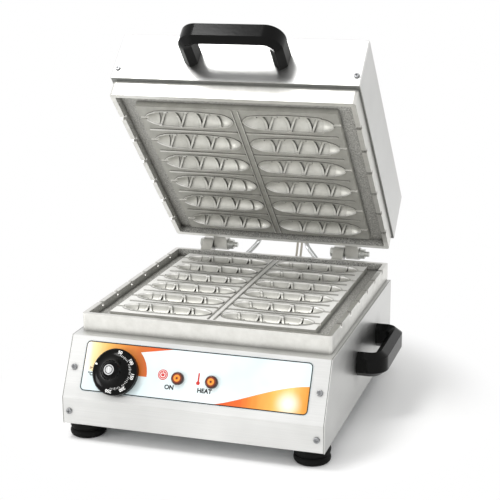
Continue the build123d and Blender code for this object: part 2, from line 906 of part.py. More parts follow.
foot_seats = [Plane(origin=(x, y, foot_floor), x_dir=(1, 0, 0), z_dir=(0, 0, -1)) for x, y in foot_places]
foot_screw_length = pan_low + sheet + foot_nut_height + 1 - foot_floor
foot_screws = make_screws(foot_seats, foot_screw_radius, foot_head_radius, foot_screw_length)
save(foot_screws, "foot_screws")

with BuildPart() as foot_nuts:
    with BuildSketch(Plane.XY.offset(pan_low + sheet)):
        with Locations(*foot_places):
            RegularPolygon(foot_nut_across / 2, 6, major_radius=False)
            Circle(foot_screw_radius + snug, mode=Mode.SUBTRACT)
    extrude(amount=foot_nut_height)
save(foot_nuts, "foot_nuts")


# Hinge bolts, with hex heads at the left and washers and nuts at the right

bolt_heads = [start - side_play for start in base_knuckle_starts]
spacer_starts = [start + base_knuckle_width + side_play for start in base_knuckle_starts]
spacer_thickness = knuckle_gap - 2 * side_play
washer_starts = [start + lid_knuckle_width + side_play for start in lid_knuckle_starts]
nut_starts = [start + washer_thickness for start in washer_starts]


def add_discs(starts, thickness, radius, hexagonal=False, hollow=True):
    """Discs or hexagons on the hinge axis, added to the open part."""
    for start in starts:
        with BuildSketch(Plane.YZ.offset(start)) as disc:
            with Locations((hinge_y, hinge_z)):
                if hexagonal:
                    RegularPolygon(radius, 6, major_radius=False)
                else:
                    Circle(radius)
                if hollow:
                    Circle(hinge_bolt_radius + snug, mode=Mode.SUBTRACT)
        extrude(disc.sketch, amount=thickness)


with BuildPart() as hinge_bolts:
    add_discs(
        [start - hinge_head for start in bolt_heads],
        hinge_head,
        hinge_nut_across / 2,
        hexagonal=True,
        hollow=False,
    )
    bolt_length = nut_starts[0] + hinge_nut_height + bolt_tail - bolt_heads[0]
    add_discs(bolt_heads, bolt_length, hinge_bolt_radius, hollow=False)
save(hinge_bolts, "hinge_bolts")

with BuildPart() as hinge_washers:
    add_discs(spacer_starts, spacer_thickness, spacer_radius)
    add_discs(washer_starts, washer_thickness, washer_radius)
save(hinge_washers, "hinge_washers")

with BuildPart() as hinge_nuts:
    add_discs(nut_starts, hinge_nut_height, hinge_nut_across / 2, hexagonal=True)
save(hinge_nuts, "hinge_nuts")


# Lid: a base sheet bolted on the back of the upper plate, and a folded cover screwed over its rim

cover_width = plate_width + 2 * cover_overhang_side
cover_mid = (cover_front + cover_back) / 2
cover_depth = cover_back - cover_front
lid_up = Axis(lid_plane.origin, lid_plane.z_dir)


def lid_block(height, inset, low, corner):
    """Block in the lid's outline, moved in by inset, starting at height low."""
    with BuildSketch(lid_plane.offset(low)) as outline:
        with Locations((0, cover_mid)):
            RectangleRounded(cover_width - 2 * inset, cover_depth - 2 * inset, corner)
    return extrude(outline.sketch, amount=height, mode=Mode.PRIVATE)


with BuildPart() as lid_cover:
    add(lid_block(cover_height, 0, cover_low, cover_bend))
    fillet(lid_cover.faces().sort_by(lid_up)[-1].edges(), cover_bend - 0.1)
    add(lid_block(cover_height, sheet, cover_low - sheet, cover_bend - sheet), mode=Mode.SUBTRACT)
    cut_holes(lid_front_plane, handle_screw_places, handle_screw_radius + hole_clearance)
    cut_holes(lid_front_plane, lid_front_screw_places, panel_screw_radius + hole_clearance)
    cut_holes(lid_rear_plane, lid_rear_screw_places, panel_screw_radius + hole_clearance)
    cut_holes(lid_rear_plane, lid_lead_places, grommet_neck_radius + hole_clearance)
save(lid_cover, "lid_cover")

with BuildPart() as lid_base:
    add(lid_block(lid_base_rim, sheet + snug, cover_low, cover_bend - sheet))
    add(
        lid_block(lid_base_rim, 2 * sheet + snug, cover_low + sheet, cover_bend - 1.5 * sheet),
        mode=Mode.SUBTRACT,
    )
    cut_holes(lid_front_plane, lid_front_screw_places, panel_screw_radius + snug)
    cut_holes(lid_rear_plane, lid_rear_screw_places, panel_screw_radius + snug)
    cut_stack_opening(upper_frame)
save(lid_base, "lid_base")

lid_seats = seats_on(lid_front_plane, lid_front_screw_places) + seats_on(lid_rear_plane, lid_rear_screw_places)
lid_screws = make_screws(lid_seats, panel_screw_radius, panel_head_radius, panel_screw_length)
save(lid_screws, "lid_screws")


# Bridge handles: one section swept out, along and back, with a screw into each leg


def make_handle(face, reach):
    """Handle on a face plane: x along the grip, z away from the face."""
    leg = handle_legs / 2
    with BuildPart() as handle:
        with BuildLine(face) as path:
            FilletPolyline(
                (-leg, 0, 0),
                (-leg, 0, reach),
                (leg, 0, reach),
                (leg, 0, 0),
                radius=handle_bend,
            )
        start = face.from_local_coords((-leg, 0, 0))
        with BuildSketch(Plane(origin=start, x_dir=face.x_dir, z_dir=face.z_dir)):
            with BuildLine():
                Polyline(
                    (handle_half_width, handle_flat),
                    (0, handle_half_height),
                    (-handle_half_width, handle_flat),
                    (-handle_half_width, -handle_flat),
                    (0, -handle_half_height),
                    (handle_half_width, -handle_flat),
                    close=True,
                )
            make_face()
        sweep(path=path.line)
        with BuildSketch(face):
            with Locations((-leg, 0), (leg, 0)):
                Circle(handle_screw_radius + snug)
        extrude(amount=handle_thread, mode=Mode.SUBTRACT)
    return handle


def handle_seats(face):
    """Seats of a handle's screws, on the inside of the sheet that the handle stands on."""
    inside = Plane(origin=face.offset(-sheet).origin, x_dir=-face.x_dir, z_dir=-face.z_dir)
    return seats_on(inside, handle_screw_places)


for name, face, reach in (
    ("side_handle_right", right_face, side_handle_reach),
    ("side_handle_left", left_face, side_handle_reach),
    ("lid_handle", lid_front_plane, lid_handle_reach),
):
    save(make_handle(face, reach), name)

handle_screw_length = sheet + handle_thread - 2
for name, seats in (
    ("side_handle_screws", handle_seats(right_face) + handle_seats(left_face)),
    ("lid_handle_screws", handle_seats(lid_front_plane)),
):
    save(make_screws(seats, handle_screw_radius, handle_head_radius, handle_screw_length), name)


# Thermostat with its sensing bulb, and the dial on its shaft

thermostat_back = -sheet - thermostat_depth

with BuildPart() as thermostat:
    with BuildSketch(dial_plane.offset(thermostat_back)):
        RectangleRounded(thermostat_size, thermostat_size, 3)
    extrude(amount=thermostat_depth - hole_clearance)
    with BuildSketch(dial_plane.offset(-sheet - hole_clearance)):
        Circle(bush_radius)
    extrude(amount=sheet + hole_clearance + bush_proud)
    with BuildSketch(dial_plane.offset(bush_proud)):
        Circle(shaft_radius + shaft_running)
    extrude(amount=-bush_proud - sheet - shaft_in_body, mode=Mode.SUBTRACT)
save(thermostat, "thermostat_body")

with BuildPart() as bush_nut:
    with BuildSketch(dial_plane.offset(label_thickness)):
        RegularPolygon(bush_radius + 2.2, 6, major_radius=False)
        Circle(bush_radius + snug, mode=Mode.SUBTRACT)
    extrude(amount=bush_proud - label_thickness - 0.6)
save(bush_nut, "thermostat_nut")

with BuildPart() as shaft:
    with BuildSketch(dial_plane.offset(-sheet - shaft_in_body + 0.5)):
        Circle(shaft_radius)
    extrude(amount=sheet + shaft_in_body - 0.5 + dial_gap + dial_height - 4)
save(shaft, "thermostat_shaft")

with BuildPart() as dial:
    with BuildSketch(side_plane(dial_plane, 0)):
        with BuildLine():
            Polyline(
                (0, dial_gap),
                (dial_radius - 1.2, dial_gap),
                (dial_radius, dial_gap + 1.2),
                (dial_radius, dial_gap + dial_skirt - 1.5),
                (dial_radius - 1.5, dial_gap + dial_skirt),
            )
            ThreePointArc(
                (dial_radius - 1.5, dial_gap + dial_skirt),
                (dial_radius * 0.62, dial_gap + dial_skirt + 3.4),
                (dial_hub_radius, dial_gap + dial_height - 1.5),
            )
            Polyline(
                (dial_hub_radius, dial_gap + dial_height - 1.5),
                (dial_hub_radius - 1.5, dial_gap + dial_height),
                (0, dial_gap + dial_height),
                (0, dial_gap),
            )
        make_face()
    revolve(axis=Axis(dial_plane.origin, dial_plane.z_dir), revolution_arc=360)
    # Hollow back, room for the bush and its nut, and a bore for the shaft
    with BuildSketch(dial_plane.offset(dial_gap)):
        Circle(dial_radius - 3)
        Circle(dial_hub_radius - 2.5, mode=Mode.SUBTRACT)
    extrude(amount=dial_skirt - 3, mode=Mode.SUBTRACT)
    with BuildSketch(dial_plane.offset(dial_gap)):
        Circle(bush_radius + 5)
    extrude(amount=bush_proud - dial_gap + 0.6, mode=Mode.SUBTRACT)
    with BuildSketch(dial_plane.offset(dial_gap)):
        Circle(shaft_radius + snug)
    extrude(amount=dial_height - 3.9, mode=Mode.SUBTRACT)
save(dial, "dial")

with BuildPart() as cap:
    with BuildSketch(dial_plane.offset(dial_gap + dial_height)):
        Circle(cap_radius)
    extrude(amount=cap_height)
    with BuildSketch(dial_plane.offset(dial_gap + dial_height + cap_height - 1)):
        Rectangle(1.4, 2 * cap_radius - 3)
    extrude(amount=1, mode=Mode.SUBTRACT)
save(cap, "dial_cap")

# Sensing bulb pressed under the lower plate, and the thin line that joins it to the thermostat
sensor_z = -plate_height + pocket_depth - element_touch - sensor_radius
sensor_start = lower_frame.from_local_coords((0, sensor_y + 22, sensor_z))
line_below = lower_frame.from_local_coords((0, sensor_y, shield_low - 12))
line_exit = dial_plane.from_local_coords((thermostat_size / 3, 0, thermostat_back))
line_out = line_exit - slope_plane.z_dir * 16

with BuildPart() as temperature_sensor:
    with BuildSketch(Plane(origin=sensor_start, z_dir=(0, 1, 0))):
        Circle(sensor_radius)
    extrude(amount=sensor_length)
    with BuildLine() as path:
        FilletPolyline(
            sensor_start,
            lower_frame.from_local_coords((0, sensor_y, sensor_z)),
            line_below,
            (line_out.X + 34, line_out.Y + 18, line_below.Z - 8),
            line_out,
            line_exit,
            radius=[9, 9, 9, 9],
        )
    with BuildSketch(Plane(origin=path.line @ 0, z_dir=path.line % 0)):
        Circle(sensing_line_radius)
    sweep(path=path.line)
save(temperature_sensor, "temperature_sensor")


# Pilot lamps: a domed amber lens over a body clipped through the panel

lamp_seats = seats_on(slope_plane.offset(label_thickness), lamp_places)

with BuildPart() as lamp_lenses:
    for seat in lamp_seats:
        with BuildSketch(seat):
            Circle(lamp_head_radius)
        extrude(amount=lamp_head_height)
    tops = lamp_lenses.faces().group_by(Axis(slope_plane.origin, slope_plane.z_dir))[-1]
    fillet(tops.edges(), lamp_head_height * 0.45)
    for seat in lamp_seats:
        with BuildSketch(seat):
            Circle(lamp_neon_radius + hole_clearance)
        extrude(amount=lamp_head_height - 1.4, mode=Mode.SUBTRACT)
save(lamp_lenses, "lamp_lenses")

with BuildPart() as lamp_bodies:
    for seat in lamp_seats:
        with BuildSketch(seat.offset(-lamp_body_length)):
            Circle(lamp_body_radius)
        extrude(amount=lamp_body_length)
        with BuildSketch(seat):
            Circle(lamp_neon_radius)
        extrude(amount=lamp_head_height - 1.8)
        with BuildSketch(seat.offset(-lamp_body_length)):
            with Locations((-2.6, 0), (2.6, 0)):
                Rectangle(0.8, 4)
        extrude(amount=-8)
save(lamp_bodies, "lamp_bodies")


# Printed label, a thin film on the control face

with BuildPart() as panel_label:
    with BuildSketch(slope_plane):
        with Locations((0, label_along)):
            RectangleRounded(label_width, label_height, label_corner)
        with Locations((dial_x, dial_along)):
            Circle(bush_radius + hole_clearance, mode=Mode.SUBTRACT)
        with Locations(*lamp_places):
            Circle(lamp_body_radius + hole_clearance, mode=Mode.SUBTRACT)
    extrude(amount=label_thickness)
save(panel_label, "panel_label")


# Lid stop: bent rod whose top bar meets the open lid's rear wall, welded to two screwed feet

stop_offset = stop_radius + stop_clearance


def behind_lid(z):
    """Row y of the rod's centre at height z, where it runs along the open lid's rear wall."""
    wall_low = lid_plane.from_local_coords((0, cover_back, cover_low))
    along = (z - wall_low.Z) * math.tan(open_angle)
    return wall_low.Y + along + stop_offset / math.cos(open_angle)


stop_y = back_y + stop_foot_thickness + stop_radius - stop_weld
stop_half = [
    (stop_foot_x, stop_y, stop_foot_low),
    (stop_foot_x, stop_y, stop_foot_high),
    (stop_neck_x, behind_lid(stop_neck_z), stop_neck_z),
    (stop_neck_x, behind_lid(stop_top_z), stop_top_z),
]
stop_route = [(-x, y, z) for x, y, z in stop_half] + stop_half[::-1]

with BuildPart() as lid_stop:
    with BuildLine() as path:
        FilletPolyline(*stop_route, radius=[14, 18, 16, 16, 18, 14])
    with BuildSketch(Plane(origin=stop_route[0], x_dir=(1, 0, 0), z_dir=(0, 0, 1))):
        Circle(stop_radius)
    sweep(path=path.line)
    with BuildSketch(rear_plane):
        with Locations(*[(side * stop_foot_x, stop_foot_low + 2) for side in (-1, 1)]):
            RectangleRounded(stop_foot_width, stop_foot_length, 3)
        with Locations(*stop_screw_places):
            Circle(panel_screw_radius + hole_clearance, mode=Mode.SUBTRACT)
    extrude(amount=stop_foot_thickness)
    with BuildSketch(rear_plane.offset(stop_foot_thickness)):
        with Locations(*[(side * stop_foot_x, stop_foot_low + 4) for side in (-1, 1)]):
            Rectangle(1.4 * stop_radius, stop_foot_length * 0.6)
    extrude(amount=stop_radius - stop_weld)
save(lid_stop, "lid_stop")

stop_seats = seats_on(rear_plane.offset(stop_foot_thickness), stop_screw_places)
stop_screws = make_screws(
    stop_seats, panel_screw_radius, panel_head_radius, panel_screw_length + stop_foot_thickness
)
save(stop_screws, "lid_stop_screws")


# Cable gland, terminal block and wiring

gland_plane = Plane(origin=(gland_x, back_y, gland_z), x_dir=(-1, 0, 0), z_dir=(0, 1, 0))
gland_head = 6.0
gland_dome = 12.0
gland_thread = 12.0
gland_nut_height = 5.0

with BuildPart() as cable_gland:
    with BuildSketch(gland_plane):
        RegularPolygon(gland_across / 2, 6, major_radius=False)
    extrude(amount=gland_head)
    with BuildSketch(gland_plane.offset(gland_head)):
        Circle(gland_across / 2 - 1)
    extrude(amount=gland_dome, taper=9)
    with BuildSketch(gland_plane):
        Circle(gland_thread_radius)
    extrude(amount=-gland_thread)
    with BuildSketch(gland_plane.offset(-gland_thread)):
        Circle(gland_bore_radius)
    extrude(amount=gland_thread + gland_head + gland_dome, mode=Mode.SUBTRACT)
save(cable_gland, "cable_gland")

with BuildPart() as gland_nut:
    with BuildSketch(gland_plane.offset(-sheet)):
        RegularPolygon(gland_across / 2, 6, major_radius=False)
        Circle(gland_thread_radius + snug, mode=Mode.SUBTRACT)
    extrude(amount=-gland_nut_height)
save(gland_nut, "gland_nut")

block_low = pan_low + sheet
block_y = back_y - block_from_back
block_depth = 24.0
block_base = 10.0
block_height = 19.0
block_ports = [block_x + block_pitch * step for step in (-2, -1, 0, 1, 2)]
port_z = block_low + block_wire_height

with BuildPart() as terminal_block:
    with BuildSketch(Plane.XY.offset(block_low)):
        with Locations((block_x, block_y)):
            RectangleRounded(5 * block_pitch + 2, block_depth, 2)
    extrude(amount=block_base)
    with BuildSketch(Plane.XY.offset(block_low + block_base)):
        with Locations(*[(x, block_y) for x in block_ports]):
            Rectangle(0.8 * block_pitch, 0.65 * block_depth)
    extrude(amount=block_height - block_base)
    with BuildSketch(Plane.XY.offset(block_low + block_height)):
        with Locations(*[(x, block_y + shift) for x in block_ports for shift in (-4, 4)]):
            Circle(2)
    extrude(amount=-4, mode=Mode.SUBTRACT)
    with BuildSketch(Plane.XZ.offset(-block_y - block_depth / 2)):
        with Locations(*[(x, port_z) for x in block_ports]):
            Circle(lead_radius + hole_clearance)
    extrude(amount=block_depth, mode=Mode.SUBTRACT)
save(terminal_block, "terminal_block")


def make_grommets(plane, places):
    """Rubber rings where the lid's leads pass through a wall."""
    with BuildPart() as grommets:
        with BuildSketch(plane):
            with Locations(*places):
                Circle(grommet_radius)
        extrude(amount=grommet_flange)
        with BuildSketch(plane.offset(-sheet)):
            with Locations(*places):
                Circle(grommet_neck_radius)
        extrude(amount=sheet)
        with BuildSketch(plane.offset(-sheet - grommet_flange)):
            with Locations(*places):
                Circle(grommet_radius)
        extrude(amount=grommet_flange)
        with BuildSketch(plane.offset(-sheet - grommet_flange)):
            with Locations(*places):
                Circle(lead_radius + hole_clearance)
        extrude(amount=sheet + 2 * grommet_flange, mode=Mode.SUBTRACT)
    return grommets


save(make_grommets(rear_plane, base_lead_places), "base_grommets")
save(make_grommets(lid_rear_plane, lid_lead_places), "lid_grommets")


def add_lead(route, radii):
    """Add one round lead along straight runs joined by arcs to the open part."""
    with BuildLine() as path:
        FilletPolyline(*route, radius=radii)
    with BuildSketch(Plane(origin=path.line @ 0, z_dir=path.line % 0)) as section:
        Circle(lead_radius)
    sweep(section.sketch, path=path.line)


# The two leads that cross the hinge, from inside the base to inside the lid
lid_entry = lid_rear_plane.from_local_coords((0, lead_lid_rise, 0))
lead_base_end = 18.0
lead_lid_end = 6.0

with BuildPart() as lid_leads:
    for x in lead_xs:
        entry = Vector(x, lid_entry.Y, lid_entry.Z)
        before = entry + lid_rear_plane.z_dir * 17
        add_lead(
            [
                (x, back_y - lead_base_end, lead_base_z),
                (x, back_y + 20, lead_base_z),
                (x, back_y + 40, lead_base_z + 36),
                (x, back_y + 58, lead_base_z + 70),
                before,
                entry - lid_rear_plane.z_dir * lead_lid_end,
            ],
            [16, 30, 30, 11],
        )
save(lid_leads, "lid_leads")

# Leads inside the lid, from the wall to the upper heater's pins
pin_level = element_z - element_drop - 11
lid_wall_y = plate_depth + hinge_behind + cover_back
entry_level = -plate_height - lead_lid_rise

with BuildPart() as upper_heater_leads:
    for x, pin_x in zip(lead_xs, (element_outer_x, -element_outer_x)):
        route = [
            (-x, lid_wall_y - lead_lid_end - 0.3, entry_level),
            (-x, lid_wall_y - lead_lid_end - 9, entry_level),
            (-x, lid_wall_y - lead_lid_end - 9, pin_level),
            (pin_x, element_back + 24, pin_level),
            (pin_x, element_back + 2.2, pin_level),
        ]
        add_lead([upper_frame.from_local_coords(point) for point in route], [6, 6, 12])
save(upper_heater_leads, "upper_heater_leads")

# Leads inside the base, all ending in the terminal block
pin_z = rim_top + pin_level
pin_y = plate_front_y + element_back
port_front = block_y - block_depth / 4
port_back = block_y + block_depth / 4

with BuildPart() as base_leads:
    # Supply, from the gland
    for port, shift in ((0, -2.1), (1, 2.1)):
        x = block_ports[port]
        add_lead(
            [
                (gland_x, back_y - gland_thread - 0.3, gland_z + shift),
                (gland_x, back_y - 28 - 2 * shift, gland_z + shift),
                (x, back_y - 38, port_z + 8),
                (x, block_y + 14, port_z),
                (x, port_back, port_z),
            ],
            [6, 6, 6],
        )
    # Feed for the lid
    for port, x in ((3, lead_xs[0]), (4, lead_xs[1])):
        end_x = block_ports[port]
        drop = 8 * (port - 3)
        add_lead(
            [
                (x, back_y - lead_base_end - 0.3, lead_base_z),
                (x, back_y - 30, lead_base_z),
                (x, back_y - 30, port_z + 18 - drop),
                (end_x, back_y - 34, port_z + 12 - drop / 2),
                (end_x, block_y + 15, port_z),
                (end_x, port_back, port_z),
            ],
            [6, 8, 7, 5],
        )
    # Lower heater
    for port, x in ((0, -element_outer_x), (4, element_outer_x)):
        end_x = block_ports[port]
        add_lead(
            [
                (x, pin_y + 2.2, pin_z),
                (x, pin_y + 14, pin_z),
                (x, pin_y + 14, port_z + 6),
                (end_x + math.copysign(14, x), block_y - 36, port_z),
                (end_x, block_y - 24, port_z),
                (end_x, port_front, port_z),
            ],
            [6, 8, 8, 8],
        )
    # Thermostat
    for port, offset in ((2, -8), (3, 8)):
        end_x = block_ports[port]
        tab = dial_plane.from_local_coords((offset, -10, thermostat_back))
        add_lead(
            [
                tab,
                tab - slope_plane.z_dir * 14,
                (tab.X, tab.Y + 34, port_z + 4),
                (tab.X + 20, front_y + body_depth / 2, port_z + 4),
                (end_x, block_y - 40, port_z),
                (end_x, port_front, port_z),
            ],
            [8, 12, 20, 14],
        )
save(base_leads, "base_leads")
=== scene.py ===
import math

import bmesh
import bpy
from mathutils import Matrix, Vector, geometry


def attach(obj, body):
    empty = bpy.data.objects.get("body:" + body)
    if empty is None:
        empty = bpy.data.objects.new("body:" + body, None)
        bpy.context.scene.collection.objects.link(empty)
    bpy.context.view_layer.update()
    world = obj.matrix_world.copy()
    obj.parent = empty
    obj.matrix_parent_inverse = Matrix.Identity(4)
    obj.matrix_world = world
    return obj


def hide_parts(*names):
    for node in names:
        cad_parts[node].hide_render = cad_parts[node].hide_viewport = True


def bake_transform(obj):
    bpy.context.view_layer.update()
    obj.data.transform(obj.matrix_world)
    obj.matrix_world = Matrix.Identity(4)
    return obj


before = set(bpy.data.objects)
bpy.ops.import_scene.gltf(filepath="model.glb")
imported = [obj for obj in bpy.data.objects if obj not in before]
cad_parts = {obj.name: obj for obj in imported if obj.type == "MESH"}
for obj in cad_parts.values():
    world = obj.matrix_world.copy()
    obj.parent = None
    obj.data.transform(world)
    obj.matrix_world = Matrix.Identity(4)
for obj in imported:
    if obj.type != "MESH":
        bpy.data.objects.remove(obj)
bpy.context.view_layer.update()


# Bottom pan, both heat shields and both clamp sheets.
# Galvanised steel sheet, pressed and punched, left unpainted because nobody sees it in use.
# Hot-dip zinc freezes in crystals about a centimetre across, some paler than others.


def linear(colour):
    """Linear colour of an sRGB hex value, with full alpha."""
    parts = [int(colour[at : at + 2], 16) / 255 for at in (1, 3, 5)]
    curved = [part / 12.92 if part <= 0.04045 else ((part + 0.055) / 1.055) ** 2.4 for part in parts]
    return curved + [1.0]


def start_finish(name, **sockets):
    """New finish: its material and shader, with the shader's own sockets set by name."""
    finish = bpy.data.materials.new(name)
    finish.use_nodes = True
    shader = finish.node_tree.nodes["Principled BSDF"]
    for socket, value in sockets.items():
        shader.inputs[socket.replace("_", " ").title().replace("Ior", "IOR")].default_value = value
    return finish, shader


def add_node(finish, kind, values=None, links=None, **settings):
    """Add a node of a kind with its settings, its socket values and what feeds its sockets."""
    node = finish.node_tree.nodes.new("ShaderNode" + kind)
    for name, value in settings.items():
        setattr(node, name, value)
    for socket, value in (values or {}).items():
        node.inputs[socket].default_value = value
    for socket, source in (links or {}).items():
        finish.node_tree.links.new(source, node.inputs[socket])
    return node


def feed(finish, shader, **sources):
    """Let node outputs drive the shader's sockets."""
    for socket, source in sources.items():
        finish.node_tree.links.new(source, shader.inputs[socket.replace("_", " ").title()])


def dress(finish, *nodes):
    """Give CAD nodes a finish in place of their plain one."""
    for name in nodes:
        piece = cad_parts[name]
        if not piece.material_slots:
            piece.data.materials.append(finish)
        for held in piece.material_slots:
            held.material = finish


def per_metre(millimetres):
    """Texture scale whose features are that many millimetres across."""
    return 1000 / millimetres


spangle_size = 11
spangle_pale = "#B9BDBD"
spangle_grey = "#8E9394"
spangle_gloss = (0.34, 0.5)

galvanised, shader = start_finish("galvanised_steel", metallic=1.0)
place = add_node(galvanised, "TexCoord")
spangles = add_node(
    galvanised,
    "TexVoronoi",
    {"Scale": per_metre(spangle_size), "Randomness": 1.0},
    {"Vector": place.outputs["Object"]},
)
crystal = add_node(galvanised, "SeparateColor", links={"Color": spangles.outputs["Color"]})
tone = add_node(
    galvanised,
    "Mix",
    {6: linear(spangle_grey), 7: linear(spangle_pale)},
    {0: crystal.outputs["Red"]},
    data_type="RGBA",
)
sheen = add_node(
    galvanised,
    "MapRange",
    {"To Min": spangle_gloss[0], "To Max": spangle_gloss[1]},
    {"Value": crystal.outputs["Green"]},
)
feed(galvanised, shader, base_color=tone.outputs[2], roughness=sheen.outputs["Result"])
dress(
    galvanised,
    "bottom_pan",
    "lower_heat_shield",
    "upper_heat_shield",
    "lower_element_clamp",
    "upper_element_clamp",
)


# Feet, and the grommets where the leads pass through the rear panel and the lid.
# Black synthetic rubber, compression moulded, with a dull skin from the mould's fine spark-eroded face.
# The rings of the feet carry a little pale dust where a hand wipes them.

rubber_black = "#060606"
rubber_dusty = "#141413"
rubber_grain = 0.8
rubber_grain_depth = 0.0002
rubber_gloss = (0.45, 0.7)
dust_patch = 9

moulded_rubber, shader = start_finish("moulded_rubber", ior=1.3, specular_ior_level=0.2)
place = add_node(moulded_rubber, "TexCoord")
dust = add_node(
    moulded_rubber,
    "TexNoise",
    {"Scale": per_metre(dust_patch), "Detail": 6.0, "Roughness": 0.65},
    {"Vector": place.outputs["Object"]},
)
tone = add_node(
    moulded_rubber,
    "Mix",
    {6: linear(rubber_black), 7: linear(rubber_dusty)},
    {0: dust.outputs["Fac"]},
    data_type="RGBA",
)
grain = add_node(
    moulded_rubber,
    "TexNoise",
    {"Scale": per_metre(rubber_grain), "Detail": 2.0},
    {"Vector": place.outputs["Object"]},
)
relief = add_node(
    moulded_rubber,
    "Bump",
    {"Strength": 0.25, "Distance": rubber_grain_depth},
    {"Height": grain.outputs["Fac"]},
)
sheen = add_node(
    moulded_rubber,
    "MapRange",
    {"To Min": rubber_gloss[0], "To Max": rubber_gloss[1]},
    {"Value": dust.outputs["Fac"]},
)
feed(
    moulded_rubber,
    shader,
    base_color=tone.outputs[2],
    normal=relief.outputs["Normal"],
    roughness=sheen.outputs["Result"],
)
dress(
    moulded_rubber,
    "foot_front_left",
    "foot_rear_left",
    "foot_front_right",
    "foot_rear_right",
    "base_grommets",
    "lid_grommets",
)


# Body cover, front panel, rear panel and lid cover: stainless steel sheet, belt-brushed, then folded.
# The lines run along X on the faces that look forward or up, and front to back on the sides.
# The sides and upright faces are painted a shade darker, as painted shade for the dimmer light they catch,
# and the steel under each overhang is darkened as painted shadow.

steel_pale = "#F0F0EE"
steel_grey = "#CFCFCD"
# Colour of the painted shadow under overhangs, and of the dark line at the seam.
steel_shade_and_seam = "#6B6B68"
steel_gloss = (0.2, 0.34)
wiped_gloss = 0.12
side_shade = 0.95
upright_shade = 0.88
upright_to_level = (0.05, 0.45)
shadow_reach = 0.022
seam_width = 0.0007
body_seam = 0.1688
# The lid has no such seam, so its own stands a metre out, past every face.
lid_seam = 1.0
# A brush line is a tenth of a millimetre wide. Here it is drawn 0.9 mm wide, so that it shows.
line_width = 0.9
line_length = 70
brush_depth = 0.0002
cloud_size = 120
cloud_share = 0.45
cloud_edges = (0.35, 0.65)
lid_tilt = math.radians(46)
facing_side = 0.7


def brushed_steel(name, tilt, seam):
    """Brushed stainless steel turned by a tilt about X, with sheets that meet at seam on both sides."""
    finish, shader = start_finish(name, metallic=1.0)
    place = add_node(finish, "TexCoord")
    turned = add_node(
        finish,
        "Mapping",
        {"Rotation": (tilt, 0, 0)},
        {"Vector": place.outputs["Object"]},
    )
    side = add_node(finish, "SeparateXYZ", links={"Vector": place.outputs["Normal"]})
    steep = add_node(finish, "Math", links={0: side.outputs["X"]}, operation="ABSOLUTE")
    is_side = add_node(
        finish, "Math", {1: facing_side}, {0: steep.outputs[0]}, operation="GREATER_THAN"
    )
    across, along = per_metre(line_width), per_metre(line_length)
    lines = []
    for stretch in ((along, across, across), (across, along, across)):
        squeezed = add_node(finish, "Mapping", {"Scale": stretch}, {"Vector": turned.outputs[0]})
        lines.append(
            add_node(
                finish,
                "TexNoise",
                {"Scale": 1.0, "Detail": 4.0, "Roughness": 0.6},
                {"Vector": squeezed.outputs[0]},
            )
        )
    brushing = add_node(
        finish,
        "Mix",
        links={0: is_side.outputs[0], 2: lines[0].outputs["Fac"], 3: lines[1].outputs["Fac"]},
    )
    clouds = add_node(
        finish,
        "TexNoise",
        {"Scale": per_metre(cloud_size), "Detail": 3.0},
        {"Vector": place.outputs["Object"]},
    )
    blotches = add_node(
        finish,
        "MapRange",
        {"From Min": cloud_edges[0], "From Max": cloud_edges[1]},
        {"Value": clouds.outputs["Fac"]},
    )
    drawn = add_node(
        finish, "Mix", {0: cloud_share}, {2: brushing.outputs[0], 3: blotches.outputs[0]}
    )
    tone = add_node(
        finish,
        "Mix",
        {6: linear(steel_grey), 7: linear(steel_pale)},
        {0: drawn.outputs[0]},
        data_type="RGBA",
    )
    # Painted shade: sides and upright faces are darkened, standing in for the dimmer light they catch.
    sided = add_node(
        finish,
        "MapRange",
        {"To Min": 1.0, "To Max": side_shade},
        {"Value": is_side.outputs[0]},
    )
    faces_up = add_node(finish, "Math", links={0: side.outputs["Z"]}, operation="ABSOLUTE")
    level_shade = add_node(
        finish,
        "MapRange",
        {
            "From Min": upright_to_level[0],
            "From Max": upright_to_level[1],
            "To Min": upright_shade,
            "To Max": 1.0,
        },
        {"Value": faces_up.outputs[0]},
    )
    shade = add_node(
        finish,
        "Math",
        links={0: sided.outputs[0], 1: level_shade.outputs[0]},
        operation="MULTIPLY",
    )
    at = add_node(finish, "SeparateXYZ", links={"Vector": place.outputs["Object"]})
    out = add_node(finish, "Math", links={0: at.outputs["X"]}, operation="ABSOLUTE")
    in_seam = add_node(
        finish,
        "Math",
        {1: seam, 2: seam_width / 2},
        {0: out.outputs[0]},
        operation="COMPARE",
    )
    dimmed = add_node(
        finish, "VectorMath", links={0: tone.outputs[2], "Scale": shade.outputs[0]}, operation="SCALE"
    )
    # Painted shadow: ambient occlusion darkens steel under an overhang towards the shadow colour, which
    # also draws the seam line.
    open_sky = add_node(finish, "AmbientOcclusion", {"Distance": shadow_reach}, samples=8)
    clear = add_node(
        finish,
        "Math",
        links={0: open_sky.outputs["AO"], 1: in_seam.outputs[0]},
        operation="SUBTRACT",
        use_clamp=True,
    )
    tone = add_node(
        finish,
        "Mix",
        {6: linear(steel_shade_and_seam)},
        {0: clear.outputs[0], 7: dimmed.outputs[0]},
        data_type="RGBA",
    )
    gloss = add_node(
        finish,
        "MapRange",
        {"To Min": steel_gloss[0], "To Max": steel_gloss[1]},
        {"Value": brushing.outputs[0]},
    )
    wiped = add_node(
        finish, "Math", {1: wiped_gloss}, {0: clouds.outputs["Fac"]}, operation="MULTIPLY"
    )
    rough = add_node(finish, "Math", links={0: gloss.outputs[0], 1: wiped.outputs[0]}, operation="ADD")
    relief = add_node(
        finish,
        "Bump",
        {"Strength": 0.06, "Distance": brush_depth},
        {"Height": brushing.outputs[0]},
    )
    feed(
        finish,
        shader,
        base_color=tone.outputs[2],
        roughness=rough.outputs[0],
        normal=relief.outputs["Normal"],
    )
    return finish


dress(
    brushed_steel("brushed_body_steel", 0, body_seam),
    "body_cover",
    "front_panel",
    "rear_panel",
)
dress(brushed_steel("brushed_lid_steel", lid_tilt, lid_seam), "lid_cover")
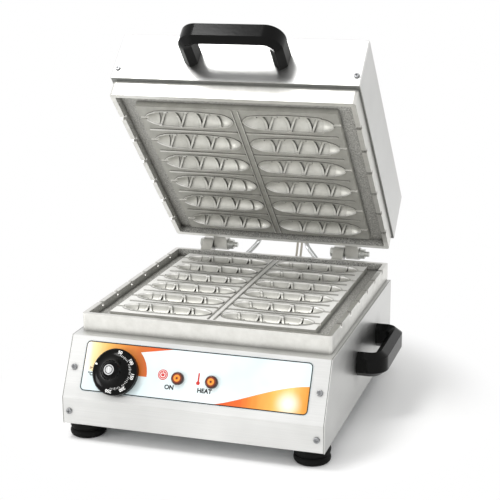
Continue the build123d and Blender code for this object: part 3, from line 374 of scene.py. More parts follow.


# Lower and upper plate: sand-cast aluminium, fettled, with its mating rim, ribs and cavities rubbed bright.
# The moat round the field keeps the sand's grain and a darker skin, and the field between is half rubbed.
# Each face is told apart by its drop below the mating rim, in the coordinates of its own plate. Crevices
# and the corners of the cavities are darkened as painted shade.

plate_width = 0.328
plate_depth = 0.341
plate_front = -0.176607
rim_top = 0.1505
hinge_point = Vector((0, 0.189393, 0.1545))
hinge_behind = 0.025
hinge_rise = 0.0035
field_half = 0.1365
field_front = 0.0265
field_back = 0.3225
field_margin = 0.0004
rim_width = 0.0062
rim_drop = 0.0006
field_drop = 0.003
field_drop_margin = 0.0003
cavity_lip_drop = 0.0036
cavity_floor_drop = 0.0158
bright_alloy = "#E9E8E4"
worn_alloy = "#C3C2BC"
rubbed_alloy = "#DEDDD8"
skin_alloy = "#6B6A65"
# Painted shade: crevices and cavity corners are darkened towards this colour.
painted_crevice_shade = "#3F3E39"
crevice_reach = 0.011
crevice_to_open = (0.2, 0.85)
sand_grain = 1.3
sand_depth = 0.0012
sand_edges = (0.36, 0.64)
rubbed_patch = 14
file_mark = 2.2
rim_gloss = (0.28, 0.38)
field_roughness = 0.55
cavity_roughness = 0.44
moat_roughness = 0.6
rubbed_grain = 0.018
moat_grain = 0.8
bare_metal = 0.8
dull_metal = 0.45


def cast_alloy(name, origin, turn, field_dull_with_shade, field_bright_with_shade, mould_dull, mould_bright, field_metal):
    """Cast aluminium for the plate whose mating rim lies in the plane of an origin and a turn."""
    finish, shader = start_finish(name)
    place = add_node(finish, "TexCoord")
    own = add_node(
        finish,
        "Mapping",
        {"Location": origin, "Rotation": turn},
        {"Vector": place.outputs["Object"]},
        vector_type="TEXTURE",
    )
    at = add_node(finish, "SeparateXYZ", links={"Vector": own.outputs[0]})
    out = add_node(finish, "Math", links={0: at.outputs["X"]}, operation="ABSOLUTE")
    beyond_side = add_node(
        finish,
        "Math",
        {1: field_half + field_margin},
        {0: out.outputs[0]},
        operation="GREATER_THAN",
    )
    before = add_node(
        finish,
        "Math",
        {1: field_front - field_margin},
        {0: at.outputs["Y"]},
        operation="LESS_THAN",
    )
    behind = add_node(
        finish,
        "Math",
        {1: field_back + field_margin},
        {0: at.outputs["Y"]},
        operation="GREATER_THAN",
    )
    ends = add_node(
        finish, "Math", links={0: before.outputs[0], 1: behind.outputs[0]}, operation="MAXIMUM"
    )
    outside = add_node(
        finish, "Math", links={0: ends.outputs[0], 1: beyond_side.outputs[0]}, operation="MAXIMUM"
    )
    below_rim = add_node(
        finish, "Math", {1: -rim_drop}, {0: at.outputs["Z"]}, operation="LESS_THAN"
    )
    in_side = add_node(
        finish,
        "Math",
        {1: plate_width / 2 - rim_width},
        {0: out.outputs[0]},
        operation="LESS_THAN",
    )
    in_front = add_node(
        finish, "Math", {1: rim_width}, {0: at.outputs["Y"]}, operation="GREATER_THAN"
    )
    in_back = add_node(
        finish,
        "Math",
        {1: plate_depth - rim_width},
        {0: at.outputs["Y"]},
        operation="LESS_THAN",
    )
    moat = outside
    for test in (below_rim, in_side, in_front, in_back):
        moat = add_node(
            finish, "Math", links={0: moat.outputs[0], 1: test.outputs[0]}, operation="MULTIPLY"
        )
    flat = add_node(
        finish,
        "Math",
        {1: -field_drop, 2: field_drop_margin},
        {0: at.outputs["Z"]},
        operation="COMPARE",
    )
    inside = add_node(
        finish, "Math", {0: 1.0}, {1: outside.outputs[0]}, operation="SUBTRACT"
    )
    field = add_node(
        finish, "Math", links={0: flat.outputs[0], 1: inside.outputs[0]}, operation="MULTIPLY"
    )
    deep = add_node(
        finish, "Math", {1: -cavity_lip_drop}, {0: at.outputs["Z"]}, operation="LESS_THAN"
    )
    shallow = add_node(
        finish, "Math", {1: -cavity_floor_drop}, {0: at.outputs["Z"]}, operation="GREATER_THAN"
    )
    mould = inside
    for test in (deep, shallow):
        mould = add_node(
            finish, "Math", links={0: mould.outputs[0], 1: test.outputs[0]}, operation="MULTIPLY"
        )
    sand = add_node(
        finish,
        "TexNoise",
        {"Scale": per_metre(sand_grain), "Detail": 5.0, "Roughness": 0.7},
        {"Vector": place.outputs["Object"]},
    )
    rubbing = add_node(
        finish,
        "TexNoise",
        {"Scale": per_metre(rubbed_patch), "Detail": 5.0, "Roughness": 0.6},
        {"Vector": place.outputs["Object"]},
    )
    marks = add_node(
        finish,
        "TexNoise",
        {"Scale": per_metre(file_mark), "Detail": 3.0},
        {"Vector": place.outputs["Object"]},
    )
    worn = add_node(
        finish,
        "Mix",
        {6: linear(worn_alloy), 7: linear(bright_alloy)},
        {0: rubbing.outputs["Fac"]},
        data_type="RGBA",
    )
    pitted = add_node(
        finish,
        "MapRange",
        {"From Min": sand_edges[0], "From Max": sand_edges[1]},
        {"Value": sand.outputs["Fac"]},
    )
    skin = add_node(
        finish,
        "Mix",
        {6: linear(skin_alloy), 7: linear(rubbed_alloy)},
        {0: pitted.outputs[0]},
        data_type="RGBA",
    )
    half_rubbed = add_node(
        finish,
        "Mix",
        {6: linear(field_dull_with_shade), 7: linear(field_bright_with_shade)},
        {0: rubbing.outputs["Fac"]},
        data_type="RGBA",
    )
    with_field = add_node(
        finish,
        "Mix",
        links={0: field.outputs[0], 6: worn.outputs[2], 7: half_rubbed.outputs[2]},
        data_type="RGBA",
    )
    patina = add_node(
        finish,
        "Mix",
        {6: linear(mould_dull), 7: linear(mould_bright)},
        {0: rubbing.outputs["Fac"]},
        data_type="RGBA",
    )
    with_mould = add_node(
        finish,
        "Mix",
        links={0: mould.outputs[0], 6: with_field.outputs[2], 7: patina.outputs[2]},
        data_type="RGBA",
    )
    faced = add_node(
        finish,
        "Mix",
        links={0: moat.outputs[0], 6: with_mould.outputs[2], 7: skin.outputs[2]},
        data_type="RGBA",
    )
    # Painted shade: ambient occlusion darkens the crevices, where less light reaches.
    open_sky = add_node(finish, "AmbientOcclusion", {"Distance": crevice_reach}, samples=8)
    exposed = add_node(
        finish,
        "MapRange",
        {"From Min": crevice_to_open[0], "From Max": crevice_to_open[1]},
        {"Value": open_sky.outputs["AO"]},
        interpolation_type="SMOOTHSTEP",
    )
    tone = add_node(
        finish,
        "Mix",
        {6: linear(painted_crevice_shade)},
        {0: exposed.outputs[0], 7: faced.outputs[2]},
        data_type="RGBA",
    )
    gloss = add_node(
        finish,
        "MapRange",
        {"To Min": rim_gloss[0], "To Max": rim_gloss[1]},
        {"Value": marks.outputs["Fac"]},
    )
    duller = add_node(
        finish, "Mix", {3: field_roughness}, {0: field.outputs[0], 2: gloss.outputs[0]}
    )
    satin = add_node(
        finish, "Mix", {3: cavity_roughness}, {0: mould.outputs[0], 2: duller.outputs[0]}
    )
    rough = add_node(
        finish, "Mix", {3: moat_roughness}, {0: moat.outputs[0], 2: satin.outputs[0]}
    )
    grain_height = add_node(
        finish, "Mix", {2: rubbed_grain, 3: moat_grain}, {0: moat.outputs[0]}
    )
    height = add_node(
        finish,
        "Math",
        links={0: sand.outputs["Fac"], 1: grain_height.outputs[0]},
        operation="MULTIPLY",
    )
    relief = add_node(
        finish,
        "Bump",
        {"Strength": 0.8, "Distance": sand_depth},
        {"Height": height.outputs[0]},
    )
    dull = add_node(
        finish, "Math", links={0: mould.outputs[0], 1: moat.outputs[0]}, operation="MAXIMUM"
    )
    half_metal = add_node(
        finish,
        "MapRange",
        {"To Min": bare_metal, "To Max": dull_metal},
        {"Value": dull.outputs[0]},
    )
    cast_skin = add_node(
        finish, "Mix", {3: field_metal}, {0: field.outputs[0], 2: half_metal.outputs[0]}
    )
    feed(
        finish,
        shader,
        base_color=tone.outputs[2],
        metallic=cast_skin.outputs[0],
        roughness=rough.outputs[0],
        normal=relief.outputs["Normal"],
    )
    return finish


dress(
    cast_alloy(
        "cast_lower_alloy",
        (0, plate_front, rim_top),
        (0, 0, 0),
        "#E2E1DC",
        "#FAF9F6",
        "#A8A7A0",
        "#D2D1CA",
        0.1,
    ),
    "lower_plate",
)
lid_back = Vector((0, math.cos(lid_tilt), -math.sin(lid_tilt)))
lid_up = Vector((0, math.sin(lid_tilt), math.cos(lid_tilt)))
upper_origin = hinge_point - lid_back * (hinge_behind + plate_depth) - lid_up * hinge_rise
upper_turn = Matrix((Vector((-1, 0, 0)), lid_back, -lid_up)).transposed().to_euler()
# The upper plate's field is painted darker than the lower's: painted shade for the same casting facing
# down, away from the lamps.
dress(
    cast_alloy(
        "cast_upper_alloy",
        tuple(upper_origin),
        tuple(upper_turn),
        "#8C8B84",
        "#BAB9B2",
        "#A7A69E",
        "#DAD9D2",
        0.45,
    ),
    "upper_plate",
)


# Hinge bolts with their washers and nuts, the studs and bolts of the plates, and the hidden screws.
# Carbon steel, cold-headed and thread-rolled, then zinc plated and passivated.
# The plating is bright, with faint darker clouds.

zinc_pale = "#D7D8D6"
zinc_cloud = "#AFB0A9"
zinc_gloss = (0.2, 0.42)
cloud_of_plating = 4

zinc_plated, shader = start_finish("zinc_plated_steel", metallic=1.0)
place = add_node(zinc_plated, "TexCoord")
cloud = add_node(
    zinc_plated,
    "TexNoise",
    {"Scale": per_metre(cloud_of_plating), "Detail": 4.0},
    {"Vector": place.outputs["Object"]},
)
tone = add_node(
    zinc_plated,
    "Mix",
    {6: linear(zinc_cloud), 7: linear(zinc_pale)},
    {0: cloud.outputs["Fac"]},
    data_type="RGBA",
)
sheen = add_node(
    zinc_plated,
    "MapRange",
    {"To Min": zinc_gloss[0], "To Max": zinc_gloss[1]},
    {"Value": cloud.outputs["Fac"]},
)
feed(zinc_plated, shader, base_color=tone.outputs[2], roughness=sheen.outputs["Result"])
dress(
    zinc_plated,
    "lower_clamp_studs",
    "lower_clamp_nuts",
    "lower_plate_bolts",
    "upper_clamp_studs",
    "upper_clamp_nuts",
    "upper_plate_bolts",
    "foot_screws",
    "foot_nuts",
    "hinge_bolts",
    "hinge_washers",
    "hinge_nuts",
    "side_handle_screws",
    "lid_handle_screws",
    "lid_stop_screws",
    "thermostat_nut",
)


# Heating elements: nickel alloy tube filled with magnesia, drawn and bent, tinted by heat.
# The tube goes straw, then blue-grey, in bands where it runs hottest.

tube_straw = "#6A5B49"
tube_blue = "#4A4B52"
tint_band = 25

heated_tube, shader = start_finish("heat_tinted_tube", metallic=1.0, roughness=0.45)
place = add_node(heated_tube, "TexCoord")
bands = add_node(
    heated_tube,
    "TexNoise",
    {"Scale": per_metre(tint_band), "Detail": 3.0},
    {"Vector": place.outputs["Object"]},
)
tone = add_node(
    heated_tube,
    "Mix",
    {6: linear(tube_straw), 7: linear(tube_blue)},
    {0: bands.outputs["Fac"]},
    data_type="RGBA",
)
feed(heated_tube, shader, base_color=tone.outputs[2])
dress(heated_tube, "lower_heating_element", "upper_heating_element")


# Insulation slabs, heater terminals, terminal block, gland, lamp bodies, sensor and the leads inside.
# Needle-felted mineral wool, glazed steatite, moulded nylon, drawn copper and braided glass sleeves.
# The wool is a tangle of fibres, the nylon has a fine moulded grain and the sleeves a close braid.


def mottled(name, dark, pale, size, roughness, metallic=0.0, depth=0.0001):
    """Finish whose colour and relief wander over patches of a size in millimetres."""
    finish, shader = start_finish(name, roughness=roughness, metallic=metallic)
    place = add_node(finish, "TexCoord")
    patches = add_node(
        finish,
        "TexNoise",
        {"Scale": per_metre(size), "Detail": 6.0, "Roughness": 0.7},
        {"Vector": place.outputs["Object"]},
    )
    tone = add_node(
        finish,
        "Mix",
        {6: linear(dark), 7: linear(pale)},
        {0: patches.outputs["Fac"]},
        data_type="RGBA",
    )
    relief = add_node(
        finish, "Bump", {"Strength": 0.5, "Distance": depth}, {"Height": patches.outputs["Fac"]}
    )
    feed(finish, shader, base_color=tone.outputs[2], normal=relief.outputs["Normal"])
    return finish


dress(
    mottled("mineral_wool", "#A69B78", "#DCD3B4", 3, 0.95, depth=0.001),
    "lower_insulation",
    "upper_insulation",
)
dress(
    mottled("glazed_steatite", "#DAD4C4", "#EFEBE0", 6, 0.25),
    "lower_element_terminals",
    "upper_element_terminals",
)
dress(
    mottled("moulded_nylon", "#17181A", "#26282B", 1.5, 0.5),
    "cable_gland",
    "gland_nut",
    "terminal_block",
    "lamp_bodies",
)
dress(mottled("drawn_copper", "#9A5A3A", "#C98258", 12, 0.35, metallic=1.0), "temperature_sensor")
sleeve = mottled("braided_glass_sleeve", "#B5B0A4", "#DEDACE", 0.9, 0.8, depth=0.0002)
dress(sleeve, "upper_heater_leads", "base_leads")


# Two handles on the sides, one on the lid, and the dial.
# Phenolic resin, compression moulded in a polished mould and screwed on from inside.
# The skin is glossy black, with a very slight orange peel and duller patches where hands have rubbed it.

handle_black = "#030303"
handle_worn = "#0B0B0A"
handle_gloss = (0.1, 0.2)
peel_size = 4
peel_depth = 0.0003
hand_patch = 30

phenolic, shader = start_finish("glossy_phenolic", ior=1.35, specular_ior_level=0.2)
place = add_node(phenolic, "TexCoord")
peel = add_node(
    phenolic,
    "TexNoise",
    {"Scale": per_metre(peel_size), "Detail": 2.0},
    {"Vector": place.outputs["Object"]},
)
rubbed = add_node(
    phenolic,
    "TexNoise",
    {"Scale": per_metre(hand_patch), "Detail": 5.0},
    {"Vector": place.outputs["Object"]},
)
tone = add_node(
    phenolic,
    "Mix",
    {6: linear(handle_black), 7: linear(handle_worn)},
    {0: rubbed.outputs["Fac"]},
    data_type="RGBA",
)
gloss = add_node(
    phenolic,
    "MapRange",
    {"To Min": handle_gloss[0], "To Max": handle_gloss[1]},
    {"Value": rubbed.outputs["Fac"]},
)
relief = add_node(
    phenolic,
    "Bump",
    {"Strength": 0.15, "Distance": peel_depth},
    {"Height": peel.outputs["Fac"]},
)
feed(
    phenolic,
    shader,
    base_color=tone.outputs[2],
    roughness=gloss.outputs[0],
    normal=relief.outputs["Normal"],
)
dress(phenolic, "side_handle_right", "side_handle_left", "lid_handle", "dial")


# Lid base sheet and the screws that show on the casings.
# Mill-finished steel sheet painted dark as painted shadow under the cover's overhang, and round-headed
# screws plated with nickel.
# Each screw head picks up small dark and pale spots, as worn nickel does.

# Painted shadow: the lid base sheet is darkened for the shade under the cover's overhang.
dress(mottled("lid_base_painted_shadow", "#6F706E", "#979896", 18, 0.45, metallic=1.0), "lid_base")
dress(
    mottled("nickel_screw", "#77787A", "#A9AAAB", 1.5, 0.3, metallic=1.0),
    "panel_screws",
    "lid_screws",
)


# Thermostat body and shaft, the dial's cap and the lid stop.
# Galvanised case, turned nickel-plated shaft, spun aluminium cap and a chromed bent rod.
# They are smooth, with faint clouds where they have been handled.

polish_depth = 0.00002

dress(mottled("thermostat_case", "#8E9293", "#B5B9B9", 8, 0.4, metallic=1.0), "thermostat_body")
dress(
    mottled("plated_shaft", "#B4B2AA", "#D6D4CC", 5, 0.25, metallic=1.0, depth=polish_depth),
    "thermostat_shaft",
)
dress(
    mottled("spun_cap", "#D9DADA", "#F0F0EF", 3, 0.2, metallic=1.0, depth=polish_depth),
    "dial_cap",
)
dress(
    mottled("chromed_rod", "#C4C6C7", "#E6E7E7", 11, 0.16, metallic=1.0, depth=polish_depth),
    "lid_stop",
)


# Leads that cross the hinge, from the rear panel up into the lid.
# Stranded copper in braided glass sleeves, cut to length and passed through the grommets.
# They are held at both ends, and in the real machine bend between the base and the lid as it moves; here
# they keep one shape.

# Each lead passes through the same points, given as depth and height in metres.
lead_xs = (0.014, 0.0205)
lead_radius = 0.00175
lead_route = (
    (0.139393, 0.084),
    (0.177393, 0.084),
    (0.197393, 0.120),
    (0.215393, 0.154),
    (0.225022, 0.190297),
    (0.209045, 0.206842),
)


def shaped_piece(shapes, name, finish, body):
    """One piece made of curve shapes, each put in its place, that rides on a body if one is named."""
    form = bmesh.new()
    for shape, place in shapes:
        holder = bpy.data.objects.new(name + "_shape", shape)
        faces = bpy.data.meshes.new_from_object(holder)
        faces.transform(place)
        form.from_mesh(faces)
        bpy.data.objects.remove(holder)
        bpy.data.meshes.remove(faces)
        bpy.data.curves.remove(shape)
    mesh = bpy.data.meshes.new(name)
    form.to_mesh(mesh)
    form.free()
    piece = bpy.data.objects.new(name, mesh)
    bpy.context.scene.collection.objects.link(piece)
    mesh.materials.append(finish)
    if body:
        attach(piece, body)
    return piece


def lead_shape(x):
    """Smooth round lead along the route at an x."""
    shape = bpy.data.curves.new("lead", "CURVE")
    shape.dimensions = "3D"
    shape.bevel_depth = lead_radius
    shape.bevel_resolution = 4
    shape.use_fill_caps = True
    line = shape.splines.new("NURBS")
    line.points.add(len(lead_route) - 1)
    for point, (y, z) in zip(line.points, lead_route):
        point.co = (x, y, z, 1)
    line.order_u = 3
    line.use_endpoint_u = True
    line.resolution_u = 10
    return shape


leads = shaped_piece(
    [(lead_shape(x), Matrix()) for x in lead_xs], "hinge_leads", sleeve, None
)
for polygon in leads.data.polygons:
    polygon.use_smooth = True
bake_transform(leads)
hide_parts("lid_leads")


# Label on the control face: a printed film with a dark border, an amber wash and an orange sweep.
# Polycarbonate film, screen printed, die cut and glued on the steel.
# Its ink is a few hundredths of a millimetre high, placed across and up the face in metres.

face_origin = Vector((0, -0.232607, 0.057))
face_tilt = math.atan2(70.5, 38.0)
on_face = Matrix.Translation(face_origin) @ Matrix.Rotation(face_tilt, 4, "X")
film_top = 0.0004
ink_half = 0.00004
layer = 0.00003
label_box = (-0.1476, 0.01065, 0.1476, 0.07435)
label_corner = 0.0058
border_width = 0.0014
ink_left = -0.1467
ink_right = 0.1467
ink_low = 0.01155
ink_high = 0.0734
ink_corner = 0.0047
dial_centre = (-0.101, 0.037)
dial_gap = 0.0396
film_pale = "#F6F9F8"
film_cool = "#C4DCE0"
film_haze = 60

film, shader = start_finish("printed_film", roughness=0.35)
place = add_node(film, "TexCoord")
haze = add_node(
    film,
    "TexNoise",
    {"Scale": per_metre(film_haze), "Detail": 2.0},
    {"Vector": place.outputs["Object"]},
)
tone = add_node(
    film,
    "Mix",
    {6: linear(film_cool), 7: linear(film_pale)},
    {0: haze.outputs["Fac"]},
    data_type="RGBA",
)
feed(film, shader, base_color=tone.outputs[2])
dress(film, "panel_label")


def arc(centre, radius, start, end, steps):
    """Points along an arc whose start and end are in degrees."""
    turns = [math.radians(start + (end - start) * step / steps) for step in range(steps + 1)]
    return [
        (centre[0] + radius * math.cos(turn), centre[1] + radius * math.sin(turn))
        for turn in turns
    ]


def disc(radius, corners=48):
    """Outline of a round about its own middle."""
    return arc((0, 0), radius, 0, 360 - 360 / corners, corners - 1)


def rounded_box(left, low, right, high, radius):
    """Outline of a rectangle with round corners."""
    return [
        point
        for centre, start in (
            ((right - radius, high - radius), 0),
            ((left + radius, high - radius), 90),
            ((left + radius, low + radius), 180),
            ((right - radius, low + radius), 270),
        )
        for point in arc(centre, radius, start, start + 90, 6)
    ]


def ink_shape(*outlines):
    """Flat shape inside one outline, less the outlines within it."""
    shape = bpy.data.curves.new("ink", "CURVE")
    shape.dimensions = "2D"
    shape.fill_mode = "BOTH"
    shape.extrude = ink_half
    for outline in outlines:
        line = shape.splines.new("POLY")
        line.points.add(len(outline) - 1)
        for point, (x, y) in zip(line.points, outline):
            point.co = (x, y, 0, 1)
        line.use_cyclic_u = True
    return shape


size_to_capitals = 1.4


def letters(words, height, thicken, rise=ink_half):
    """Plain lettering with its strokes thickened, centred on its place."""
    shape = bpy.data.curves.new("letters", "FONT")
    shape.body = words
    shape.size = height * size_to_capitals
    shape.align_x = "CENTER"
    shape.align_y = "CENTER"
    shape.extrude = rise
    shape.offset = thicken
    return shape


def face_spot(x, along, above=0.0):
    """Place on the label at face coordinates, on its film or on the ink above it."""
    return on_face @ Matrix.Translation((x, along, film_top + above))


def set_stops(ramp, tones):
    """Give a colour ramp its stops, of which the first two are its ends."""
    stops = ramp.color_ramp.elements
    for number, (position, colour) in enumerate(tones):
        stop = stops[number] if number < 2 else stops.new(position)
        stop.position = position
        stop.color = linear(colour)


wash_stroke = (9, 60)
wash_slant = math.radians(35)
wash_sway = 0.06
flare_white = "#FFFBEE"
flare_strength = 0.95
flare_size = 0.020
wash_span = (-0.148, -0.028)
wash_tones = (
    (0.0, "#FFFDF6"),
    (1.0, "#D2521C"),
    (0.10, "#F8E0A6"),
    (0.24, "#F0BB62"),
    (0.42, "#E69038"),
    (0.64, "#C86824"),
    (0.76, "#DA5A1E"),
)
wash_flare = (-0.150, 0.036, 0.0)
sweep_span = (0.027, 0.148)
sweep_tones = (
    (0.0, "#D84E1A"),
    (1.0, "#DE9030"),
    (0.3, "#DE641E"),
    (0.42, "#E88A30"),
    (0.62, "#F0B456"),
    (0.8, "#F4CC78"),
    (0.93, "#E6A044"),
)
sweep_flare = (0.122, 0.022, 0.0)


def printed_wash(name, span, tones, flare):
    """Ink that runs through tones over a span of X and pales round a flare."""
    finish, shader = start_finish(name, roughness=0.32)
    place = add_node(finish, "TexCoord")
    face = add_node(
        finish,
        "Mapping",
        {"Location": face_origin, "Rotation": (face_tilt, 0, 0)},
        {"Vector": place.outputs["Object"]},
        vector_type="TEXTURE",
    )
    brushed = add_node(
        finish,
        "Mapping",
        {
            "Rotation": (0, 0, wash_slant),
            "Scale": (per_metre(wash_stroke[0]), per_metre(wash_stroke[1]), 1),
        },
        {"Vector": face.outputs[0]},
    )
    streaks = add_node(
        finish, "TexNoise", {"Scale": 1.0, "Detail": 2.0}, {"Vector": brushed.outputs[0]}
    )
    at = add_node(finish, "SeparateXYZ", links={"Vector": face.outputs[0]})
    share = add_node(
        finish, "MapRange", {"From Min": span[0], "From Max": span[1]}, {"Value": at.outputs["X"]}
    )
    sway = add_node(
        finish,
        "MapRange",
        {"To Min": -wash_sway, "To Max": wash_sway},
        {"Value": streaks.outputs["Fac"]},
    )
    moved = add_node(finish, "Math", links={0: share.outputs[0], 1: sway.outputs[0]}, operation="ADD")
    ramp = add_node(finish, "ValToRGB", links={"Fac": moved.outputs[0]})
    set_stops(ramp, tones)
    away = add_node(
        finish, "VectorMath", {1: flare}, {0: face.outputs[0]}, operation="DISTANCE"
    )
    pale = add_node(
        finish,
        "MapRange",
        {"From Min": 0.0, "From Max": flare_size, "To Min": flare_strength, "To Max": 0.0},
        {"Value": away.outputs["Value"]},
        interpolation_type="SMOOTHSTEP",
    )
    tone = add_node(
        finish,
        "Mix",
        {7: linear(flare_white)},
        {0: pale.outputs[0], 6: ramp.outputs["Color"]},
        data_type="RGBA",
    )
    feed(finish, shader, base_color=tone.outputs[2])
    return finish


inner_box = (
    label_box[0] + border_width,
    label_box[1] + border_width,
    label_box[2] - border_width,
    label_box[3] - border_width,
)
ink_black = mottled("black_ink", "#060608", "#101114", 20, 0.35, depth=0.0)
ink_red = mottled("red_ink", "#BE241E", "#CE3429", 15, 0.35, depth=0.0)
ink_white = mottled("white_ink", "#F0EFEB", "#FFFFFF", 15, 0.4, depth=0.0)
amber_wash = printed_wash("amber_wash", wash_span, wash_tones, wash_flare)
orange_sweep = printed_wash("orange_sweep", sweep_span, sweep_tones, sweep_flare)

# The wash runs from the left edge round the dial, which stands clear of it by a ring of bare film.
wash_low = 0.036
wash_shoulder = 0.0687
wash_outline = (
    [(ink_left, wash_low), (ink_left, wash_shoulder)]
    + arc((-0.1418, wash_shoulder), ink_corner, 180, 90, 6)
    + [(-0.0285, ink_high), (-0.0730, 0.0656)]
    + arc(dial_centre, dial_gap, 45.0, -1.5, 18)
    + [(-0.0740, wash_low)]
)
# The sweep rises along a soft curve to the right edge.
sweep_shoulder = 0.0163
sweep_top = geometry.interpolate_bezier(
    (0.0276, ink_low, 0), (0.060, 0.017, 0), (0.105, 0.042, 0), (ink_right, 0.0452, 0), 24
)
sweep_outline = [(point.x, point.y) for point in sweep_top] + [(ink_right, sweep_shoulder)]
sweep_outline += arc((0.1418, sweep_shoulder), ink_corner, 0, -90, 6)

shaped_piece(
    [(ink_shape(wash_outline), face_spot(0, 0))],
    "amber_wash",
    amber_wash,
    "base",
)
shaped_piece(
    [(ink_shape(sweep_outline), face_spot(0, 0))],
    "orange_sweep",
    orange_sweep,
    "base",
)
shaped_piece(
    [
        (
            ink_shape(
                rounded_box(*label_box, label_corner),
                rounded_box(*inner_box, label_corner - border_width),
            ),
            face_spot(0, 0, layer),
        )
    ],
    "label_border",
    ink_black,
    "base",
)

# A red disc with the power sign in white, a red thermometer, and a red arrow beside the dial.
power_spot = (-0.0403, 0.041)
power_disc = 0.0065
power_ring = (0.0053, 0.0048)
power_sign = (0.0032, 0.0023)
bulb_spot = (0.0064, 0.0352)
bulb_radius = 0.0024
stem_half = 0.0010
stem_length = 0.0125
arrow_spot = (-0.1358, 0.0402)
arrow_outline = [(-0.0026, 0.0022), (-0.0026, -0.0022), (0.0022, 0)]
power_bar = (-0.00045, 0.0008, 0.00045, 0.0040)
power_bar_corner = 0.0004
shaped_piece(
    [
        (ink_shape(disc(power_disc)), face_spot(*power_spot)),
        (ink_shape(disc(bulb_radius, 36)), face_spot(*bulb_spot)),
        (
            ink_shape(rounded_box(-stem_half, 0, stem_half, stem_length, stem_half)),
            face_spot(*bulb_spot, layer),
        ),
        (ink_shape(arrow_outline), face_spot(*arrow_spot)),
    ],
    "red_symbols",
    ink_red,
    "base",
)
shaped_piece(
    [
        (
            ink_shape(disc(power_ring[0]), disc(power_ring[1])),
            face_spot(*power_spot, 2 * layer),
        ),
        (
            ink_shape(
                arc((0, 0), power_sign[0], 125, 415, 40) + arc((0, 0), power_sign[1], 415, 125, 40)
            ),
            face_spot(*power_spot, 2 * layer),
        ),
        (
            ink_shape(rounded_box(*power_bar, power_bar_corner)),
            face_spot(*power_spot, 2 * layer),
        ),
    ],
    "power_symbol",
    ink_white,
    "base",
)
word_height = 0.0054
word_stroke = 0.00034
on_spot = (-0.0300, 0.0262)
heat_spot = (0.0160, 0.0262)
degree_height = 0.0042
degree_stroke = 0.00025
degree_spot = (-0.1366, 0.0325)
shaped_piece(
    [
        (letters("ON", word_height, word_stroke), face_spot(*on_spot)),
        (letters("HEAT", word_height, word_stroke), face_spot(*heat_spot)),
        (letters("°C", degree_height, degree_stroke), face_spot(*degree_spot)),
    ],
    "label_words",
    ink_black,
    "base",
)


# Numbers, ticks and mark on the dial, and the ring round its cap's slot.
# White ink pad printed on the moulded skirt, and black ink in the cap.
# They follow the hollow of the skirt, which is an arc about a point off the dial.

# Reach and rise of the arc's centre from the middle of the dial, and the arc's radius.
skirt_arc = (0.02918, 0.02914, 0.01898)
print_gap = 0.00008
scale_rise = 0.00014
numbers = {80: "50", 35: "100", -8: "150", -55: "200", -98: "250"}
number_height = 0.0039
number_stroke = 0.00014
number_radius = 0.0247
ticks_between = 8
tick_half = 0.00022
short_tick = 0.0010
long_tick = 0.0016
tick_radius = 0.0214
pointer_outline = [(-0.0008, -0.0016), (0.0008, -0.0016), (0.0013, 0.0016), (-0.0013, 0.0016)]
pointer_angle = 163
pointer_radius = 0.0262
cap_top = 0.0282
cap_ring_radii = (0.0052, 0.0042)


def dial_spot(angle, radius):
    """Place on the skirt, with Y pointing out from the axis and Z off the skirt."""
    turn = math.radians(angle)
    reach, rise, curve = skirt_arc
    fall = math.asin((reach - radius) / curve)
    height = rise - curve * math.cos(fall)
    outward = Vector((math.cos(turn), math.sin(turn), 0))
    off = Vector((0, 0, 1))
    along = outward * math.cos(fall) - off * math.sin(fall)
    up = off * math.cos(fall) + outward * math.sin(fall)
    turned = Matrix((along.cross(up), along, up)).transposed().to_4x4()
    spot = Vector((*dial_centre, height)) + outward * radius + up * print_gap
    return on_face @ Matrix.Translation(spot) @ turned


scale_marks = [
    (letters(word, number_height, number_stroke, scale_rise), dial_spot(angle, number_radius))
    for angle, word in numbers.items()
]
angles = list(numbers)
for angle, next_angle in zip(angles, angles[1:]):
    for tick in range(1, ticks_between):
        at_angle = angle + (next_angle - angle) * tick / ticks_between
        half = long_tick if tick == ticks_between // 2 else short_tick
        mark = ink_shape(
            [(-tick_half, -half), (tick_half, -half), (tick_half, half), (-tick_half, half)]
        )
        mark.extrude = scale_rise
        scale_marks.append((mark, dial_spot(at_angle, tick_radius)))
pointer = ink_shape(pointer_outline)
pointer.extrude = scale_rise
scale_marks.append((pointer, dial_spot(pointer_angle, pointer_radius)))
shaped_piece(scale_marks, "dial_scale", ink_white, "dial_knob")

cap_spot = on_face @ Matrix.Translation((*dial_centre, cap_top))
shaped_piece(
    [(ink_shape(disc(cap_ring_radii[0]), disc(cap_ring_radii[1])), cap_spot)],
    "cap_ring",
    ink_black,
    "dial_knob",
)


# Pilot lamp lenses: amber polycarbonate, moulded in a polished tool and pushed in from the front.
# Seen from in front each is painted as a dark rim of painted shade, a bright ring of painted light caught
# in the amber, and the dark wick of the neon at its middle.

# The two lamps stand on either side of lamp_middle, half of their spacing away.
lamp_middle = 0.002
lamp_half_apart = 0.022
lamp_along = 0.038
lamp_radius = 0.008
# Painted light and shade: the bright ring stands in for light caught in the amber, the dark rim for shade
# at its edge.
lens_tones = (
    (0.0, "#4A1604"),
    (1.0, "#2A0E06"),
    (0.12, "#6A2406"),
    (0.24, "#F08A1E"),
    (0.45, "#F4A040"),
    (0.58, "#9A3C0A"),
    (0.74, "#571E08"),
)

